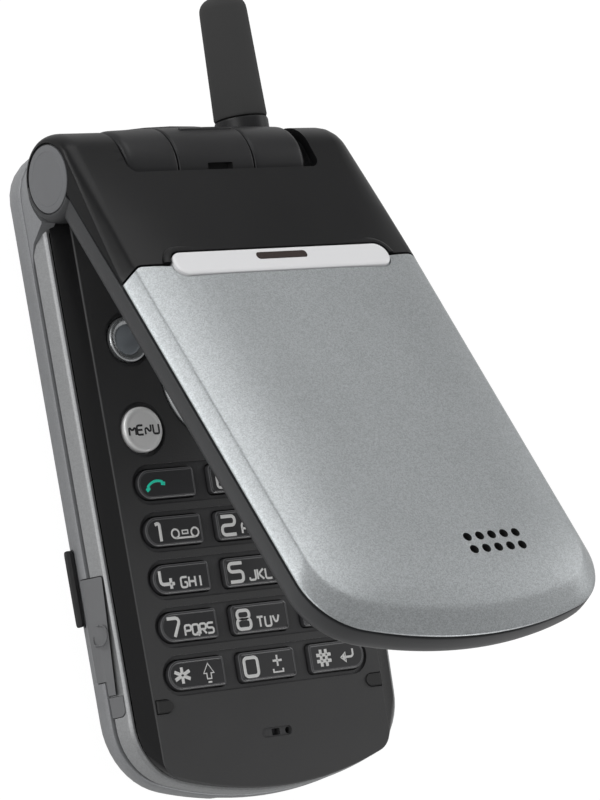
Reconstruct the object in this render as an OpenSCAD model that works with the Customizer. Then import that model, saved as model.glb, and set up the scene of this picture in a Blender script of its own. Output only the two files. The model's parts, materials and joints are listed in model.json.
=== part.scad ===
// Clamshell telephone with a stub antenna and a turning camera in its hinge.
// Millimetres. It lies on its back: +X right, +Y towards the antenna, +Z out of the keypad.
// The origin is the middle of the flat back. Most shapes are drawn in hinge coordinates, whose
// origin is the middle of the hinge axis; lid pieces are drawn closed and then turned open.

/* [Body] */
// Half the width of the base at its seam, beside the hinge
base_half_w = 24.9; // [23.5:0.1:30]
// Distance from the hinge axis to the lower end of the base
base_len = 83.6; // [81:0.1:102]
// How much narrower each side is at the lower end
side_taper = 1.4; // [0:0.1:2.5]
// How far the base reaches beyond the hinge axis
base_top = 8.3; // [7.8:0.1:9]
// Height of the hinge axis above the back
hinge_z = 15.8; // [15.8:0.1:19]
// Distance of the hinge axis from the middle of the back
hinge_y = 40; // [36:0.5:50]
// Wall of the cases
wall = 1.3; // [1:0.1:1.6]
// Keypad face below the hinge axis
panel_depth = 3.86; // [3.6:0.02:4.2]
// Outer edge of the sloping strips, below the hinge axis
strip_depth = 5.5; // [5.2:0.1:6]
// Seam between the silver band and the rear shell, below the hinge axis
seam_depth = 8; // [7.5:0.1:8.6]

/* [Lid] */
// How far the lid stands open from the keypad, in degrees
open_angle = 30.5; // [0:0.5:150]
// How far the lid's sides stand out past the base
lid_over = 0.3; // [0.1:0.05:0.6]
// How much shorter than the base the lid is
lid_short = 1.2; // [0:0.1:3]
// Outer face of the lid above the hinge axis, near its edges
lid_top_h = 4.8; // [4.4:0.1:5.2]
// How much higher the middle of that face is
lid_crown = 0.25; // [0.1:0.05:0.4]
// Seam between the outer covers and the inner shell, above the hinge axis
lid_seam_h = 1.8; // [1.6:0.1:2.6]
// Inner face of the lid, below the hinge axis
lid_inner_h = 2.6; // [2.2:0.1:2.8]
// Where the black cover meets the silver plate, from the hinge axis
cover_end = 20.2; // [17:0.1:24]
// How much lower that joint ends at the lid's sides
joint_drop = 2; // [0.5:0.1:4]
// Half the length of the raised bar across that joint
bar_half = 17.95; // [14:0.05:19]
// Width of the raised bar along the lid
bar_w = 3.9; // [3:0.1:5]
// Width and height of the display window
display_w = 37; // [32:0.5:39]
display_h = 48; // [40:0.5:50]

/* [Hinge] */
// Radius of the lid's two knuckles
knuckle_r = 5.8; // [5.4:0.05:6.5]
// Radius of the three barrels between the knuckles, at their ends, and their swell in the middle
barrel_r = 6.1; // [5.8:0.05:7.4]
barrel_swell = 0.3; // [0:0.05:0.6]
// Gap between the barrels and the lid around them
barrel_gap = 0.2; // [0.15:0.05:0.5]
// Left and right ends of the gap in the lid that holds the barrels
recess_x0 = -16.6; // [-17.5:0.1:-15.5]
recess_x1 = 15.5; // [15:0.1:17]
// Right end of the right fixed barrel
fixed_x1 = 13.1; // [12:0.1:14]
// Ends of the turning camera barrel
camera_x0 = -7.6; // [-9:0.1:-6]
camera_x1 = 4.9; // [4:0.1:6]
// Radius of the round end caps
cap_r = 4.57; // [4:0.01:4.6]
// Radius of the hinge pin
pin_r = 2; // [1.6:0.05:2.4]
// Running clearance of every shaft in its bore
run_gap = 0.05; // [0.02:0.01:0.08]

/* [Keys] */
// Travel of each key
key_travel = 0.5; // [0.3:0.05:0.6]
// Gap around each key
key_gap = 0.17; // [0.12:0.01:0.25]
// Middle of the first and distance between the five key rows
row_y0 = -41.2; // [-44:0.1:-41]
row_pitch = 6.43; // [6.2:0.01:7]
// Height of a key along the phone
key_h = 4; // [3.4:0.1:4.8]
// Half the width of a middle key
mid_half = 4.7; // [4.4:0.05:5]
// Inner and outer ends of a side key
side_x0 = 7.1; // [6.8:0.05:7.3]
side_x1 = 16.4; // [15.8:0.05:16.6]
// Radius and places of the four round keys
round_r = 3.1; // [2.8:0.05:3.3]
round_x = 14; // [13.8:0.1:14.4]
round_y0 = -21.4; // [-22:0.1:-21]
round_y1 = -33.7; // [-33.8:0.1:-33]
// Radius and middle of the direction ring
nav_r = 9.6; // [9:0.1:9.7]
nav_y = -26.9; // [-27.2:0.1:-26.6]
// Radius of the key inside the ring
ok_r = 3.4; // [3:0.1:3.8]

/* [Side parts] */
// Ends of the side key, from the hinge axis
side_key_y0 = -58.5; // [-60:0.1:-57]
side_key_y1 = -48.2; // [-50:0.1:-47]
// Ends of the headset door, and the end of the anchor below it
door_y0 = -68.2; // [-69:0.1:-67]
door_y1 = -52.5; // [-54:0.1:-51]
anchor_y0 = -71.2; // [-72:0.1:-70.5]
// Radius of the headset socket's bore
socket_r = 1.25; // [1:0.05:1.5]

/* [Antenna] */
// Place of the antenna, from the middle and below the hinge axis
ant_x = 13; // [12.6:0.1:13.4]
ant_depth = 7.1; // [7:0.1:7.4]
// Radius at the foot and at the top
ant_r0 = 3.75; // [3.1:0.05:4.5]
ant_r1 = 3.35; // [3:0.05:3.7]
// Top of the antenna beyond the hinge axis
ant_top = 27.8; // [24:0.1:34]

/* [Battery] */
// Half the width and the length of the battery pack
pack_half_w = 19.5; // [18:0.1:20]
pack_len = 48; // [44:0.5:49]
// Upper end of the pack, from the hinge axis
pack_y1 = -24; // [-25:0.5:-22]
// Inner face of the pack, below the hinge axis
pack_depth = 10.2; // [10:0.1:10.6]

/* [Hidden] */
$fn = 64;

seat = 0.02;        // clearance of pieces that lie on each other
slack = 0.15;       // clearance around pieces let into the case
cut = 0.1;          // how far a cut reaches past the face that it opens
far = 140;          // longer than the whole phone
back = hinge_z;     // depth of the back below the hinge axis

// Widths and lengths that follow from the base's own
lid_half_w = base_half_w + lid_over;
lid_len = base_len - lid_short;
lid_face_x = lid_half_w + 0.3;            // outer faces of the knuckles
strip_half_w = base_half_w - 1.5;
panel_half_w = base_half_w - 4.6;
bulge = 0.4;                              // how far the rear shell swells past the seam's end
lid_end_r = 57;                           // radius of the lid's rounded end
base_end_r = 52;                          // radius of the lower end of the base
corner_r = 9;                             // radius of the corners at the free ends
top_end_r = 75;                           // radius of the end behind the hinge
top_corner_r = 4.5;

// Hinge
barrel_max_r = barrel_r + barrel_swell;
tilt_clear = barrel_max_r + barrel_gap;
knuckle_gap = 0.35;                       // gap between the knuckles and the ears of the base
knuckle_cut = knuckle_r + knuckle_gap;
split = 0.15;                             // gap between two barrels
lid_top_mid = lid_top_h + lid_crown;
cartridge_r = 2.9;                        // hinge cartridge in the left knuckle
cartridge_nose_r = 2.5;
nose_x = recess_x0 + 5.8;                 // where the cartridge's nose ends in the left barrel
journal = 2.2;                            // length of the camera's journals
shelf_depth = 9.98;                       // step of the rear shell that the hinge housing lies on
housing_x = -recess_x0 + 0.9;             // half the width of the hinge housing
ear_x = housing_x + 0.1;

// Keys hang under the fascia by their flanges
fascia_t = 1.35;                          // thickness of the keypad face
flange = 0.4;                             // width and thickness of the flanges
flange_t = 0.6;
key_top = panel_depth - 0.35;             // keys stand a little proud
key_step = 0.2;                           // height and width of the step round each key's top
step_w = 0.25;
fascia_under = panel_depth + fascia_t;
flange_top = fascia_under + 0.05;
mat_top = flange_top + flange_t + key_travel + 0.1;
mat_t = 0.5;
board_top = mat_top + mat_t + seat;
board_t = 0.9;
can_top = board_top + board_t;
can_t = 1;
row_recess = 0.35;                        // depth of the pill-shaped row recesses
recess_half = key_h / 2 + 0.74;           // half the height and half the length of a recess
recess_x = side_x1 + 0.65;
nav_gap = 0.25;

// Places near the free ends
mic_y = -base_len + 7.63;
mic_r = 2;
bumper_y = -base_len + 12.85;
bumper_x = panel_half_w - side_taper - 0.8;
pack_y0 = pack_y1 - pack_len;
latch_y0 = pack_y1 + 1.5;
latch_len = 4;
latch_half = 6;
latch_travel = 1.8;
latch_t = 1.8;
receiver_y = -lid_len + 7.4;
speaker_x = 7.07;
speaker_y = -lid_len + 12.77;
speaker_pitch = 2;
speaker_hole_r = 0.62;
pad_x = 12.5;
pad_y = -lid_len + 5.6;
display_y = -42;
rim = 1.5;                                // how far the display window is lapped by its frame

// Side parts
door_depth0 = 6.4;                        // upper and lower edges of the door
door_depth1 = 9.6;
door_t = 2.1;
door_notch = 1.9;                         // length of the door's narrow lower end
nail_r = 1.6;                             // scoop that a fingernail opens the door by
jack_y = -60.7;
jack_half = 2.8;
jack_x0 = -base_half_w + 3.5;
jack_x1 = jack_x0 + 4.4;
jack_depth = 8.2;
side_key_depth0 = 10.2;
side_key_depth1 = 12.2;
side_key_proud = 0.4;

// Screws
screw_r = 1.1;
head_r = 1.9;
screw_spots = [[-base_half_w + 7.5, -14], [base_half_w - 7.5, -14],
               [-base_half_w + 9.7, -base_len + 7.4], [base_half_w - 9.7, -base_len + 7.4]];
lid_screw_r = 0.96;
lid_head_r = 1.45;
lid_screw_spots = [[-lid_half_w + 4, -15], [lid_half_w - 4, -15],
                   [-lid_half_w + 7.7, -lid_len + 8.9], [lid_half_w - 7.7, -lid_len + 8.9]];

// ---- Outlines -------------------------------------------------------------------------

// Points on an arc, leaving out the first where asked
function arc(c, r, a0, a1, n, first = 0) =
    [for (i = [first:n]) c + r * [cos(a0 + (a1 - a0) * i / n), sin(a0 + (a1 - a0) * i / n)]];

// Right half of a rounded end: from the middle of the end out to the straight side
function end_half(w, y_end, end_r, corner) =
    let (dx = w - corner, q = end_r - corner,
         cy = y_end + end_r,
         yc = cy - sqrt(q * q - dx * dx),
         a = atan2(yc - cy, dx))
    concat(arc([0, cy], end_r, -90, a, 5), arc([dx, yc], corner, a, 0, 5, 1));

function reversed(p) = [for (i = [len(p) - 1:-1:0]) p[i]];
function flip_y(p) = [for (q = p) [q[0], -q[1]]];
function mirrored(right) =
    concat(right, [for (i = [len(right) - 2:-1:1]) [-right[i][0], right[i][1]]]);

// Plan of the base: half-width w beside the hinge, lower end, and rounded end behind the hinge
function base_plan(w, y_end, y_top, corner = corner_r, corner2 = top_corner_r) =
    mirrored(concat(
        end_half(w - side_taper, -y_end, base_end_r, corner),
        reversed(flip_y(end_half(w, -y_top, top_end_r, corner2)))));

// Plan of the lid, square behind the hinge
function lid_plan(w, y_end, y_top = -1.3) =
    mirrored(concat(
        end_half(w - side_taper, -y_end, lid_end_r, corner_r),
        [[w, y_top], [0, y_top]]));

// Closed body through plan outlines of the same number of points, at rising heights
module loft(rings) {
    n = len(rings[0][1]);
    m = len(rings);
    polyhedron(
        points = [for (r = rings) for (p = r[1]) [p[0], p[1], r[0]]],
        faces = concat(
            [[for (i = [0:n - 1]) i]],
            [for (k = [0:m - 2]) for (i = [0:n - 1])
                [k * n + i, (k + 1) * n + i, (k + 1) * n + (i + 1) % n, k * n + (i + 1) % n]],
            [[for (i = [n - 1:-1:0]) (m - 1) * n + i]]));
}

// ---- Frames ---------------------------------------------------------------------------

module at_hinge() {
    translate([0, hinge_y, hinge_z]) children();
}

module lid_place() {
    at_hinge() rotate([-open_angle, 0, 0]) children();
}

// Cylinder along X from x0 to x1
module x_rod(x0, x1, r) {
    translate([x0, 0, 0]) rotate([0, 90, 0]) cylinder(h = x1 - x0, r = r);
}

// Turned body about the X axis from outline points [radius, x]
module x_turned(points) {
    rotate([0, 90, 0]) rotate_extrude() polygon(points);
}

// Extrudes a drawing in (y, z) along X
module along_x(x0, x1) {
    translate([x0, 0, 0]) rotate([90, 0, 90]) linear_extrude(x1 - x0) children();
}

module box(x0, x1, y0, y1, z0, z1) {
    translate([x0, y0, z0]) cube([x1 - x0, y1 - y0, z1 - z0]);
}

// Plate between two depths below the hinge axis
module slab(depth0, depth1) {
    translate([0, 0, -depth1]) linear_extrude(depth1 - depth0) children();
}

module round_rect(w, h, r) {
    square([w - 2 * r, h], center = true);
    square([w, h - 2 * r], center = true);
    for (x = [-1, 1], y = [-1, 1]) translate([x * (w / 2 - r), y * (h / 2 - r)]) circle(r);
}

// A bore along +Y from y0, at a place below the hinge axis
module y_bore(x, depth, y0, h, r) {
    translate([x, y0, -depth]) rotate([-90, 0, 0]) cylinder(h = h, r = r);
}

// ---- Base -----------------------------------------------------------------------------

// Full outer form of the rear shell: it rounds in to the flat back
module rear_form() {
    w = base_half_w;
    l = base_len;
    loft([
        [-back, base_plan(w - 6, l - 6, base_top - 5, 5, 3)],
        [-back + 0.5, base_plan(w - 3.6, l - 3.4, base_top - 2.8, 6.5, 3.5)],
        [-back + 1.5, base_plan(w - 1.8, l - 1.4, base_top - 1.2, 8)],
        [-back + 3, base_plan(w - 0.6, l - 0.1, base_top - 0.3)],
        [-back + 4.8, base_plan(w, l + bulge, base_top)],
        [-seam_depth - 1, base_plan(w, l + bulge, base_top)],
        [-seam_depth, base_plan(w - 0.25, l + bulge / 2, base_top)]]);
}

// Outer form of the silver band, from a depth up to the strips
module band_form(depth) {
    loft([
        [-depth, base_plan(base_half_w - 0.5, base_len + 0.15, 2)],
        [-strip_depth - 0.4, base_plan(strip_half_w + 0.35, base_len + 0.05, 2)],
        [-strip_depth, base_plan(strip_half_w, base_len - 0.1, 2)]]);
}

// Side view of the ears, which rise from the seam to hold the knuckles
module ear_side() {
    top = 4.4;
    foot = seam_depth + 0.5;
    polygon([[-10.5, -foot], [-10.5, -seam_depth], [-8.6, -seam_depth + 0.25], [-7.2, -7.1],
             [-5, -top], [base_top - 4.4, -top], [base_top - 3.3, -6], [base_top - 3, -foot]]);
}

module pack_outline(extra = 0) {
    translate([0, (pack_y0 + pack_y1) / 2])
        round_rect(2 * (pack_half_w + extra), pack_len + 2 * extra, 3 + extra);
}

// Seat in which the antenna's foot stands
module antenna_seat() {
    y_bore(ant_x, ant_depth, 0, far, ant_r0 + 0.65);
}

// Eye of the wrist strap: a slanting bore through the left rear corner
module strap_bore() {
    eye_depth = 12;
    translate([-base_half_w, 0, -eye_depth]) rotate([-90, 0, -45])
        translate([0, 0, -5]) cylinder(h = 20, r = 0.8);
}

module rear_case() color([0.42, 0.45, 0.49]) at_hinge() difference() {
    union() {
        rear_form();
        for (side = [-1, 1]) along_x(side > 0 ? ear_x : -base_half_w + 0.35,
                                    side > 0 ? base_half_w - 0.35 : -ear_x) ear_side();
    }
    // Inside of the shell, and the bay of the battery pack
    slab(0, back - wall - 0.5) polygon(base_plan(base_half_w - 2 * wall, base_len - 2 * wall, 1.5, 7));
    slab(pack_depth - seat, back + cut) pack_outline(slack);
    // Room for the knuckles and the barrels, and the step for the hinge housing
    x_rod(-far, recess_x0 + 0.3, knuckle_cut);
    x_rod(recess_x1 - 0.3, far, knuckle_cut);
    x_rod(recess_x0 - 0.5, recess_x1 + 0.5, tilt_clear + 0.2);
    box(-ear_x, ear_x, -7, far, -shelf_depth - seat, 0);
    // Seats of the parts let into the shell
    antenna_seat();
    side_key_seat(slack);
    door_seat(slack);
    anchor_seat(slack);
    jack_seat();
    latch_seat();
    box(-strip_half_w + 0.2, strip_half_w - 0.2, -far, -4, -fascia_under - 0.04, 0);
    connector_seat();
    for (p = screw_spots) translate([p[0], p[1], -back - cut]) {
        cylinder(h = back, r = screw_r + run_gap);
        cylinder(h = 1.5, r = head_r + 0.2);
    }
    strap_bore();
}

module side_band() color([0.66, 0.67, 0.68]) at_hinge() difference() {
    band_form(seam_depth - seat);
    slab(0, far) polygon(base_plan(strip_half_w - wall, base_len - 1.6, 2.5, 8));
    slab(0, far) translate([-far, -5]) square([2 * far, far]);
    jack_seat();
    along_x(-far, far) offset(delta = seat) ear_side();
    door_seat(slack);
    anchor_seat(slack);
    // Scoop for a fingernail above the door
    translate([-base_half_w, door_y1, -seam_depth + 0.6]) sphere(nail_r);
}

module row_recesses() {
    for (i = [0:4]) translate([0, row_y0 - i * row_pitch])
        round_rect(2 * recess_x, 2 * recess_half, recess_half - 0.01);
}

module key_fascia() color([0.2, 0.2, 0.21]) at_hinge() difference() {
    end = base_len - 0.2;
    loft([
        [-fascia_under, base_plan(strip_half_w - 0.6, end - 0.5, 1, 8)],
        [-strip_depth + seat + 0.3, base_plan(strip_half_w - 0.25, end - 0.05, 1, 8)],
        [-panel_depth - 0.25, base_plan(panel_half_w + 0.15, end, 1, 3)],
        [-panel_depth, base_plan(panel_half_w - 0.15, end - 0.35, 1, 3)]]);
    x_rod(-far, far, max(tilt_clear, knuckle_cut) + 0.25);
    slab(0, panel_depth + row_recess) row_recesses();
    slab(0, far) {
        for (i = [0:4]) translate([0, row_y0 - i * row_pitch]) {
            mid_key_2d(key_gap);
            side_key_2d(key_gap);
            mirror([1, 0]) side_key_2d(key_gap);
        }
        for (x = [-1, 1], y = [round_y0, round_y1])
            translate([x * round_x, y]) circle(round_r + key_gap);
        translate([0, nav_y]) circle(nav_r + nav_gap);
        translate([0, mic_y]) round_rect(2.4, 0.9, 0.44);
    }
    // Shallow wells round the four round keys, dish of the microphone slot, seats of the bumpers
    slab(0, panel_depth + row_recess) for (x = [-1, 1], y = [round_y0, round_y1])
        translate([x * round_x, y]) circle(round_r + 0.6);
    slab(0, panel_depth + 0.25) translate([0, mic_y]) round_rect(5, 1.3, 0.64);
    bumper_pair(0.05, 1);
}

// Small D-shaped rubber stops in the edges of the keypad face
module bumper_pair(extra, depth) {
    for (s = [-1, 1]) intersection() {
        slab(panel_depth - depth, panel_depth + 0.6)
            translate([s * bumper_x, bumper_y]) round_rect(3.4 + 2 * extra, 2.4 + 2 * extra, 1.15);
        box(-bumper_x - 0.6 - extra, bumper_x + 0.6 + extra, -far, 0, -far, 0);
    }
}

module panel_bumpers() color([0.12, 0.12, 0.13]) at_hinge() bumper_pair(0, 0.25);

// Part of the three bowed barrels that lies between two places
module barrel(x0, x1) {
    mid = (recess_x0 + recess_x1) / 2;
    half = (recess_x1 - recess_x0) / 2;
    steps = 6;
    x_turned(concat(
        [[0, x0]],
        [for (i = [0:steps]) let (x = x0 + (x1 - x0) * i / steps)
            [barrel_r + barrel_swell * (1 - pow((x - mid) / half, 2)), x]],
        [[0, x1]]));
}

// Black piece behind the keypad with the two fixed barrels, the top wall and the antenna boss
module hinge_housing() color([0.11, 0.11, 0.12]) at_hinge() difference() {
    rim_top = base_top - 1.4;
    union() {
        barrel(recess_x0 + 0.35, camera_x0 - split);
        barrel(camera_x1 + split, fixed_x1);
        along_x(-housing_x, housing_x)
            polygon([[-5.6, -shelf_depth], [-5.6, -5.25], [-4.2, -5.25], [-4.1, -4.9], [4.4, -4.9],
                     [6, -5.2], [rim_top - 0.8, -5.2], [rim_top, -6.2], [rim_top, -shelf_depth]]);
        intersection() {
            slab(5.2, shelf_depth) polygon(base_plan(base_half_w - 3.5, 1, base_top, 2, 3));
            box(-housing_x, housing_x, 4, far, -far, 0);
        }
        y_bore(ant_x, ant_depth, base_top - 1.8, 2.5, ant_r0 + 0.5);
    }
    x_rod(camera_x0 - split - 0.01, camera_x1 + split + 0.01, tilt_clear);
    x_rod(-far, recess_x0 + 0.34, knuckle_cut);
    x_rod(fixed_x1 + 0.01, recess_x1, tilt_clear);
    x_rod(recess_x1 - 0.01, far, knuckle_cut);
    // Bores of the hinge cartridge, the camera journals and the hinge pin
    x_rod(recess_x0, nose_x + 0.3, cartridge_nose_r + run_gap);
    x_rod(nose_x + 0.2, camera_x0, pin_r + run_gap);
    x_rod(camera_x1, fixed_x1 + cut, pin_r + run_gap);
    y_bore(ant_x, ant_depth, 0, 20, 2 + seat);
    box(-far, far, -far, far, -far, -shelf_depth);
}

module battery_pack() color([0.38, 0.41, 0.45]) at_hinge() difference() {
    rib_pitch = 1.2;
    intersection() {
        rear_form();
        slab(pack_depth, back + cut) pack_outline();
    }
    // Grip ribs beside the latch
    for (i = [0:4]) translate([0, pack_y1 - 2.8 - rib_pitch * i, 0])
        box(-8, 8, -rib_pitch / 2, 0, -back - cut, -back + 0.3);
}

module latch_seat() {
    box(-latch_half - slack, latch_half + slack, latch_y0 - slack,
        latch_y0 + latch_len + latch_travel + slack, -far, -back + latch_t + 0.4);
}

module battery_latch() color([0.16, 0.16, 0.17]) at_hinge() difference() {
    rib_pitch = 1.1;
    box(-latch_half, latch_half, latch_y0, latch_y0 + latch_len, -back + 0.35, -back + 0.35 + latch_t);
    for (i = [0:2]) translate([0, latch_y0 + 0.9 + rib_pitch * i, 0])
        box(-latch_half + 2, latch_half - 2, 0, 0.5, -far, -back + 0.65);
}

module main_board() color([0.1, 0.3, 0.16]) at_hinge() difference() {
    slab(board_top, board_top + board_t)
        polygon(base_plan(base_half_w - wall - 2, base_len - 3.6, -7.5, 8, 2));
    for (p = screw_spots) translate([p[0], p[1], -far]) cylinder(h = far, r = screw_r + 0.5);
    side_key_seat(0.5);
    door_seat(0.6);
    anchor_seat(0.6);
    jack_seat();
    box(-9, 9, -base_len, -base_len + 5.2, -far, 0);
}

module shield_cans() color([0.72, 0.73, 0.75]) at_hinge() {
    slab(can_top, can_top + can_t) translate([-1, -36]) round_rect(34, 20, 1);
    slab(can_top, can_top + can_t) translate([-2, -60]) round_rect(24, 20, 1);
}

module keypad_mat() color([0.78, 0.79, 0.8]) at_hinge() {
    slab(mat_top, mat_top + mat_t) difference() {
        polygon(base_plan(strip_half_w - wall - 0.8, base_len - 3.8, -8, 8, 2));
        for (p = screw_spots) translate(p) circle(screw_r + 0.6);
        translate([0, mic_y]) circle(mic_r + 0.4);
        translate([jack_x1 - 10, jack_y]) square([20.2, 2 * jack_half + 0.6], center = true);
    }
}

module microphone() color([0.6, 0.61, 0.62]) at_hinge()
    translate([0, mic_y, -board_top]) cylinder(h = board_top - fascia_under - seat, r = mic_r);

// Charging connector in the lower end
module connector_seat() {
    box(-7.6, 7.6, -far, -base_len + 4.6, -13.1, -9.4);
}

module system_connector() color([0.15, 0.15, 0.16]) at_hinge() difference() {
    contact_pitch = 1.3;
    box(-7.5, 7.5, -base_len + 1.2, -base_len + 4.5, -13, -9.5);
    box(-6.6, 6.6, -far, -base_len + 3.4, -12.2, -10.3);
    for (i = [-4:4]) translate([contact_pitch * i, 0, 0])
        box(-0.2, 0.2, -far, -base_len + 3.8, -11.4, -11.1);
}

// Headset socket in the left side, under its hinged door
module headset_jack() color([0.2, 0.2, 0.21]) at_hinge() difference() {
    box(jack_x0, jack_x1, jack_y - jack_half, jack_y + jack_half, -pack_depth + 0.1, -5.7);
    translate([-far, jack_y, -jack_depth]) rotate([0, 90, 0])
        cylinder(h = far + jack_x1 - 0.8, r = socket_r);
}

module jack_seat() {
    box(jack_x0 - 0.4, jack_x1 + cut, jack_y - jack_half - cut, jack_y + jack_half + cut,
        -pack_depth, -5.6);
}

// The door's outline, seen from the side: its lower end is narrower, above the seam
module door_box(extra) {
    inner = -base_half_w + 3.2;
    box(-far, inner, door_y0 + door_notch - extra, door_y1 + extra,
        -door_depth1 - extra, -door_depth0 + extra);
    box(-far, inner, door_y0 - extra, door_y1, -seam_depth - extra, -door_depth0 + extra);
}

module door_seat(extra) {
    door_box(extra);
}

// Skin of the side of the phone, with a given thickness, inside some region
module side_skin(thickness) {
    intersection() {
        difference() {
            union() {
                rear_form();
                band_form(seam_depth + 0.1);
            }
            slab(0, far) polygon(base_plan(base_half_w - thickness, base_len, 2));
        }
        children();
    }
}

module headset_door() color([0.5, 0.51, 0.52]) at_hinge() side_skin(door_t) door_box(0);

// Fixed end of the door's rubber, from which the door swings
module anchor_seat(extra) {
    box(-far, -base_half_w + 3.2, anchor_y0 - extra, door_y0 - 0.25 + extra,
        -seam_depth + seat - extra, -door_depth0 + extra);
}

module door_anchor() color([0.5, 0.51, 0.52]) at_hinge() side_skin(door_t + 0.6) anchor_seat(0);

module sim_holder() color([0.75, 0.76, 0.78]) at_hinge()
    difference() {
        box(-8, 17.5, -56, -38.5, -pack_depth + seat, -pack_depth + 0.5);
        box(-3, 12, -52, -42.5, -far, 0);
    }

// Motor with its off-centre weight
module vibration_motor() color([0.7, 0.7, 0.72]) at_hinge() {
    y_bore(11, 12, -21.5, 8, 2);
    y_bore(11, 12.5, -13.48, 3, 1.5);
}

module side_key_seat(extra) {
    box(-far, -base_half_w + 1.6 + extra, side_key_y0 - extra, side_key_y1 + extra,
        -side_key_depth1 - extra, -side_key_depth0 + extra);
}

module side_key() color([0.13, 0.13, 0.14]) at_hinge() {
    w = base_half_w + side_key_proud;
    intersection() {
        box(-w, -base_half_w + 1.2, side_key_y0, side_key_y1, -side_key_depth1, -side_key_depth0);
        loft([
            [-side_key_depth1, base_plan(w - 0.35, base_len, 2)],
            [-side_key_depth1 + 0.6, base_plan(w, base_len, 2)],
            [-side_key_depth0 - 0.6, base_plan(w, base_len, 2)],
            [-side_key_depth0, base_plan(w - 0.35, base_len, 2)]]);
    }
}

module antenna_stub() color([0.17, 0.17, 0.18]) at_hinge()
    translate([ant_x, base_top + 0.75, -ant_depth]) rotate([-90, 0, 0]) {
        h = ant_top - base_top - 0.75;
        dome = 1.9;
        rotate_extrude() polygon(concat(
            [[0, 0], [ant_r0 - 0.25, 0], [ant_r0, 0.4]],
            [for (i = [0:6]) [ant_r1 - dome + dome * cos(15 * i), h - dome + dome * sin(15 * i)]],
            [[0, h]]));
    }

module antenna_ferrule() color([0.78, 0.66, 0.36]) at_hinge()
    y_bore(ant_x, ant_depth, 5, base_top + 0.73 - 5, 2);

// Screws with a six-pointed recess in their heads
module case_screws() color([0.55, 0.56, 0.58]) at_hinge()
    for (p = screw_spots) translate([p[0], p[1], -back + 0.5]) {
        cylinder(h = back - fascia_under - 0.6, r = screw_r);
        difference() {
            cylinder(h = 0.88, r = head_r);
            for (a = [0, 60, 120]) rotate(a) cube([head_r, 0.5, 1], center = true);
        }
    }

module hinge_pin() color([0.72, 0.73, 0.75]) at_hinge()
    x_rod(camera_x1 + journal + 0.2, lid_half_w - 2.7, pin_r);

// ---- Camera ---------------------------------------------------------------------------

camera_aim = -12;       // direction of the lens, in degrees up from the antenna's direction
lens_x = (camera_x0 + camera_x1) / 2;
window_r = 2.8;
window_seat = sqrt(pow(barrel_r, 2) - pow(window_r, 2)) - 0.6;     // inner face of the window
unit_r = 2.45;
unit_y = 1.22;

module aim() {
    rotate([camera_aim, 0, 0]) translate([lens_x, 0, 0]) rotate([-90, 0, 0]) children();
}

module camera_barrel() color([0.12, 0.12, 0.13]) at_hinge() difference() {
    rib_angle = 30;
    notch_angle = 84;
    union() {
        barrel(camera_x0, camera_x1);
        x_rod(camera_x0 - journal, camera_x1 + journal, pin_r);
        // Ridge that the thumb turns the camera by
        rotate([rib_angle, 0, 0])
            box(lens_x - 3.5, lens_x + 5, barrel_r - 0.6, barrel_max_r + 0.15, -0.3, 0.3);
    }
    aim() translate([0, 0, unit_y - seat]) cylinder(h = far, r = unit_r + 0.03);
    aim() translate([0, 0, window_seat - seat]) cylinder(h = far, r = window_r + 0.05);
    // Thumb notch
    rotate([notch_angle, 0, 0]) box(lens_x - 2, lens_x + 2.1, barrel_r - 0.7, far, -0.6, 0.6);
}

module camera_window() color([0.1, 0.12, 0.16]) at_hinge() aim()
    translate([0, 0, window_seat]) cylinder(h = 0.6, r = window_r);

module camera_module() color([0.05, 0.05, 0.06]) at_hinge() aim() {
    depth = window_seat - unit_y - 0.04;
    hood = 1.16;        // depth of the cone in front of the lens
    translate([0, 0, unit_y]) difference() {
        cylinder(h = depth, r = unit_r);
        translate([0, 0, depth - hood]) cylinder(h = 2 * hood, r1 = 1, r2 = 1 + 2 * hood);
    }
}

// ---- Keys -----------------------------------------------------------------------------

module mid_key_2d(grow = 0) {
    round_rect(2 * (mid_half + grow), key_h + 2 * grow, 0.6 + max(grow, 0));
}

// Side key: square towards the middle, round at its outer end
module side_key_2d(grow = 0) {
    r = key_h / 2 + grow;
    x0 = side_x0 - grow;
    x1 = side_x1 + grow - r;
    inner_r = 0.5;
    translate([x1, 0]) circle(r);
    translate([x0 + inner_r, -r]) square([x1 - x0 - inner_r, 2 * r]);
    translate([x0, -r + inner_r]) square([2 * inner_r, 2 * (r - inner_r)]);
    for (s = [-1, 1]) translate([x0 + inner_r, s * (r - inner_r)]) circle(inner_r);
}

// A key of any outline: flange under the fascia, stem, and a top with a stepped edge
module key_body() {
    slab(flange_top, flange_top + flange_t) children(0);
    slab(key_top + key_step, flange_top + seat) children(1);
    slab(key_top, key_top + key_step + 0.01) children(2);
}

module side_press(row, side) at_hinge() translate([0, row_y0 - row * row_pitch, 0])
    mirror([side > 0 ? 0 : 1, 0, 0]) key_body() {
        side_key_2d(flange);
        side_key_2d(0);
        side_key_2d(-step_w);
    }

module mid_press(row) at_hinge() translate([0, row_y0 - row * row_pitch, 0]) key_body() {
    mid_key_2d(flange);
    mid_key_2d(0);
    mid_key_2d(-step_w);
}

module round_press(x, y) at_hinge() translate([x, y, 0]) key_body() {
    circle(round_r + flange);
    circle(round_r);
    circle(round_r - step_w);
}

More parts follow.
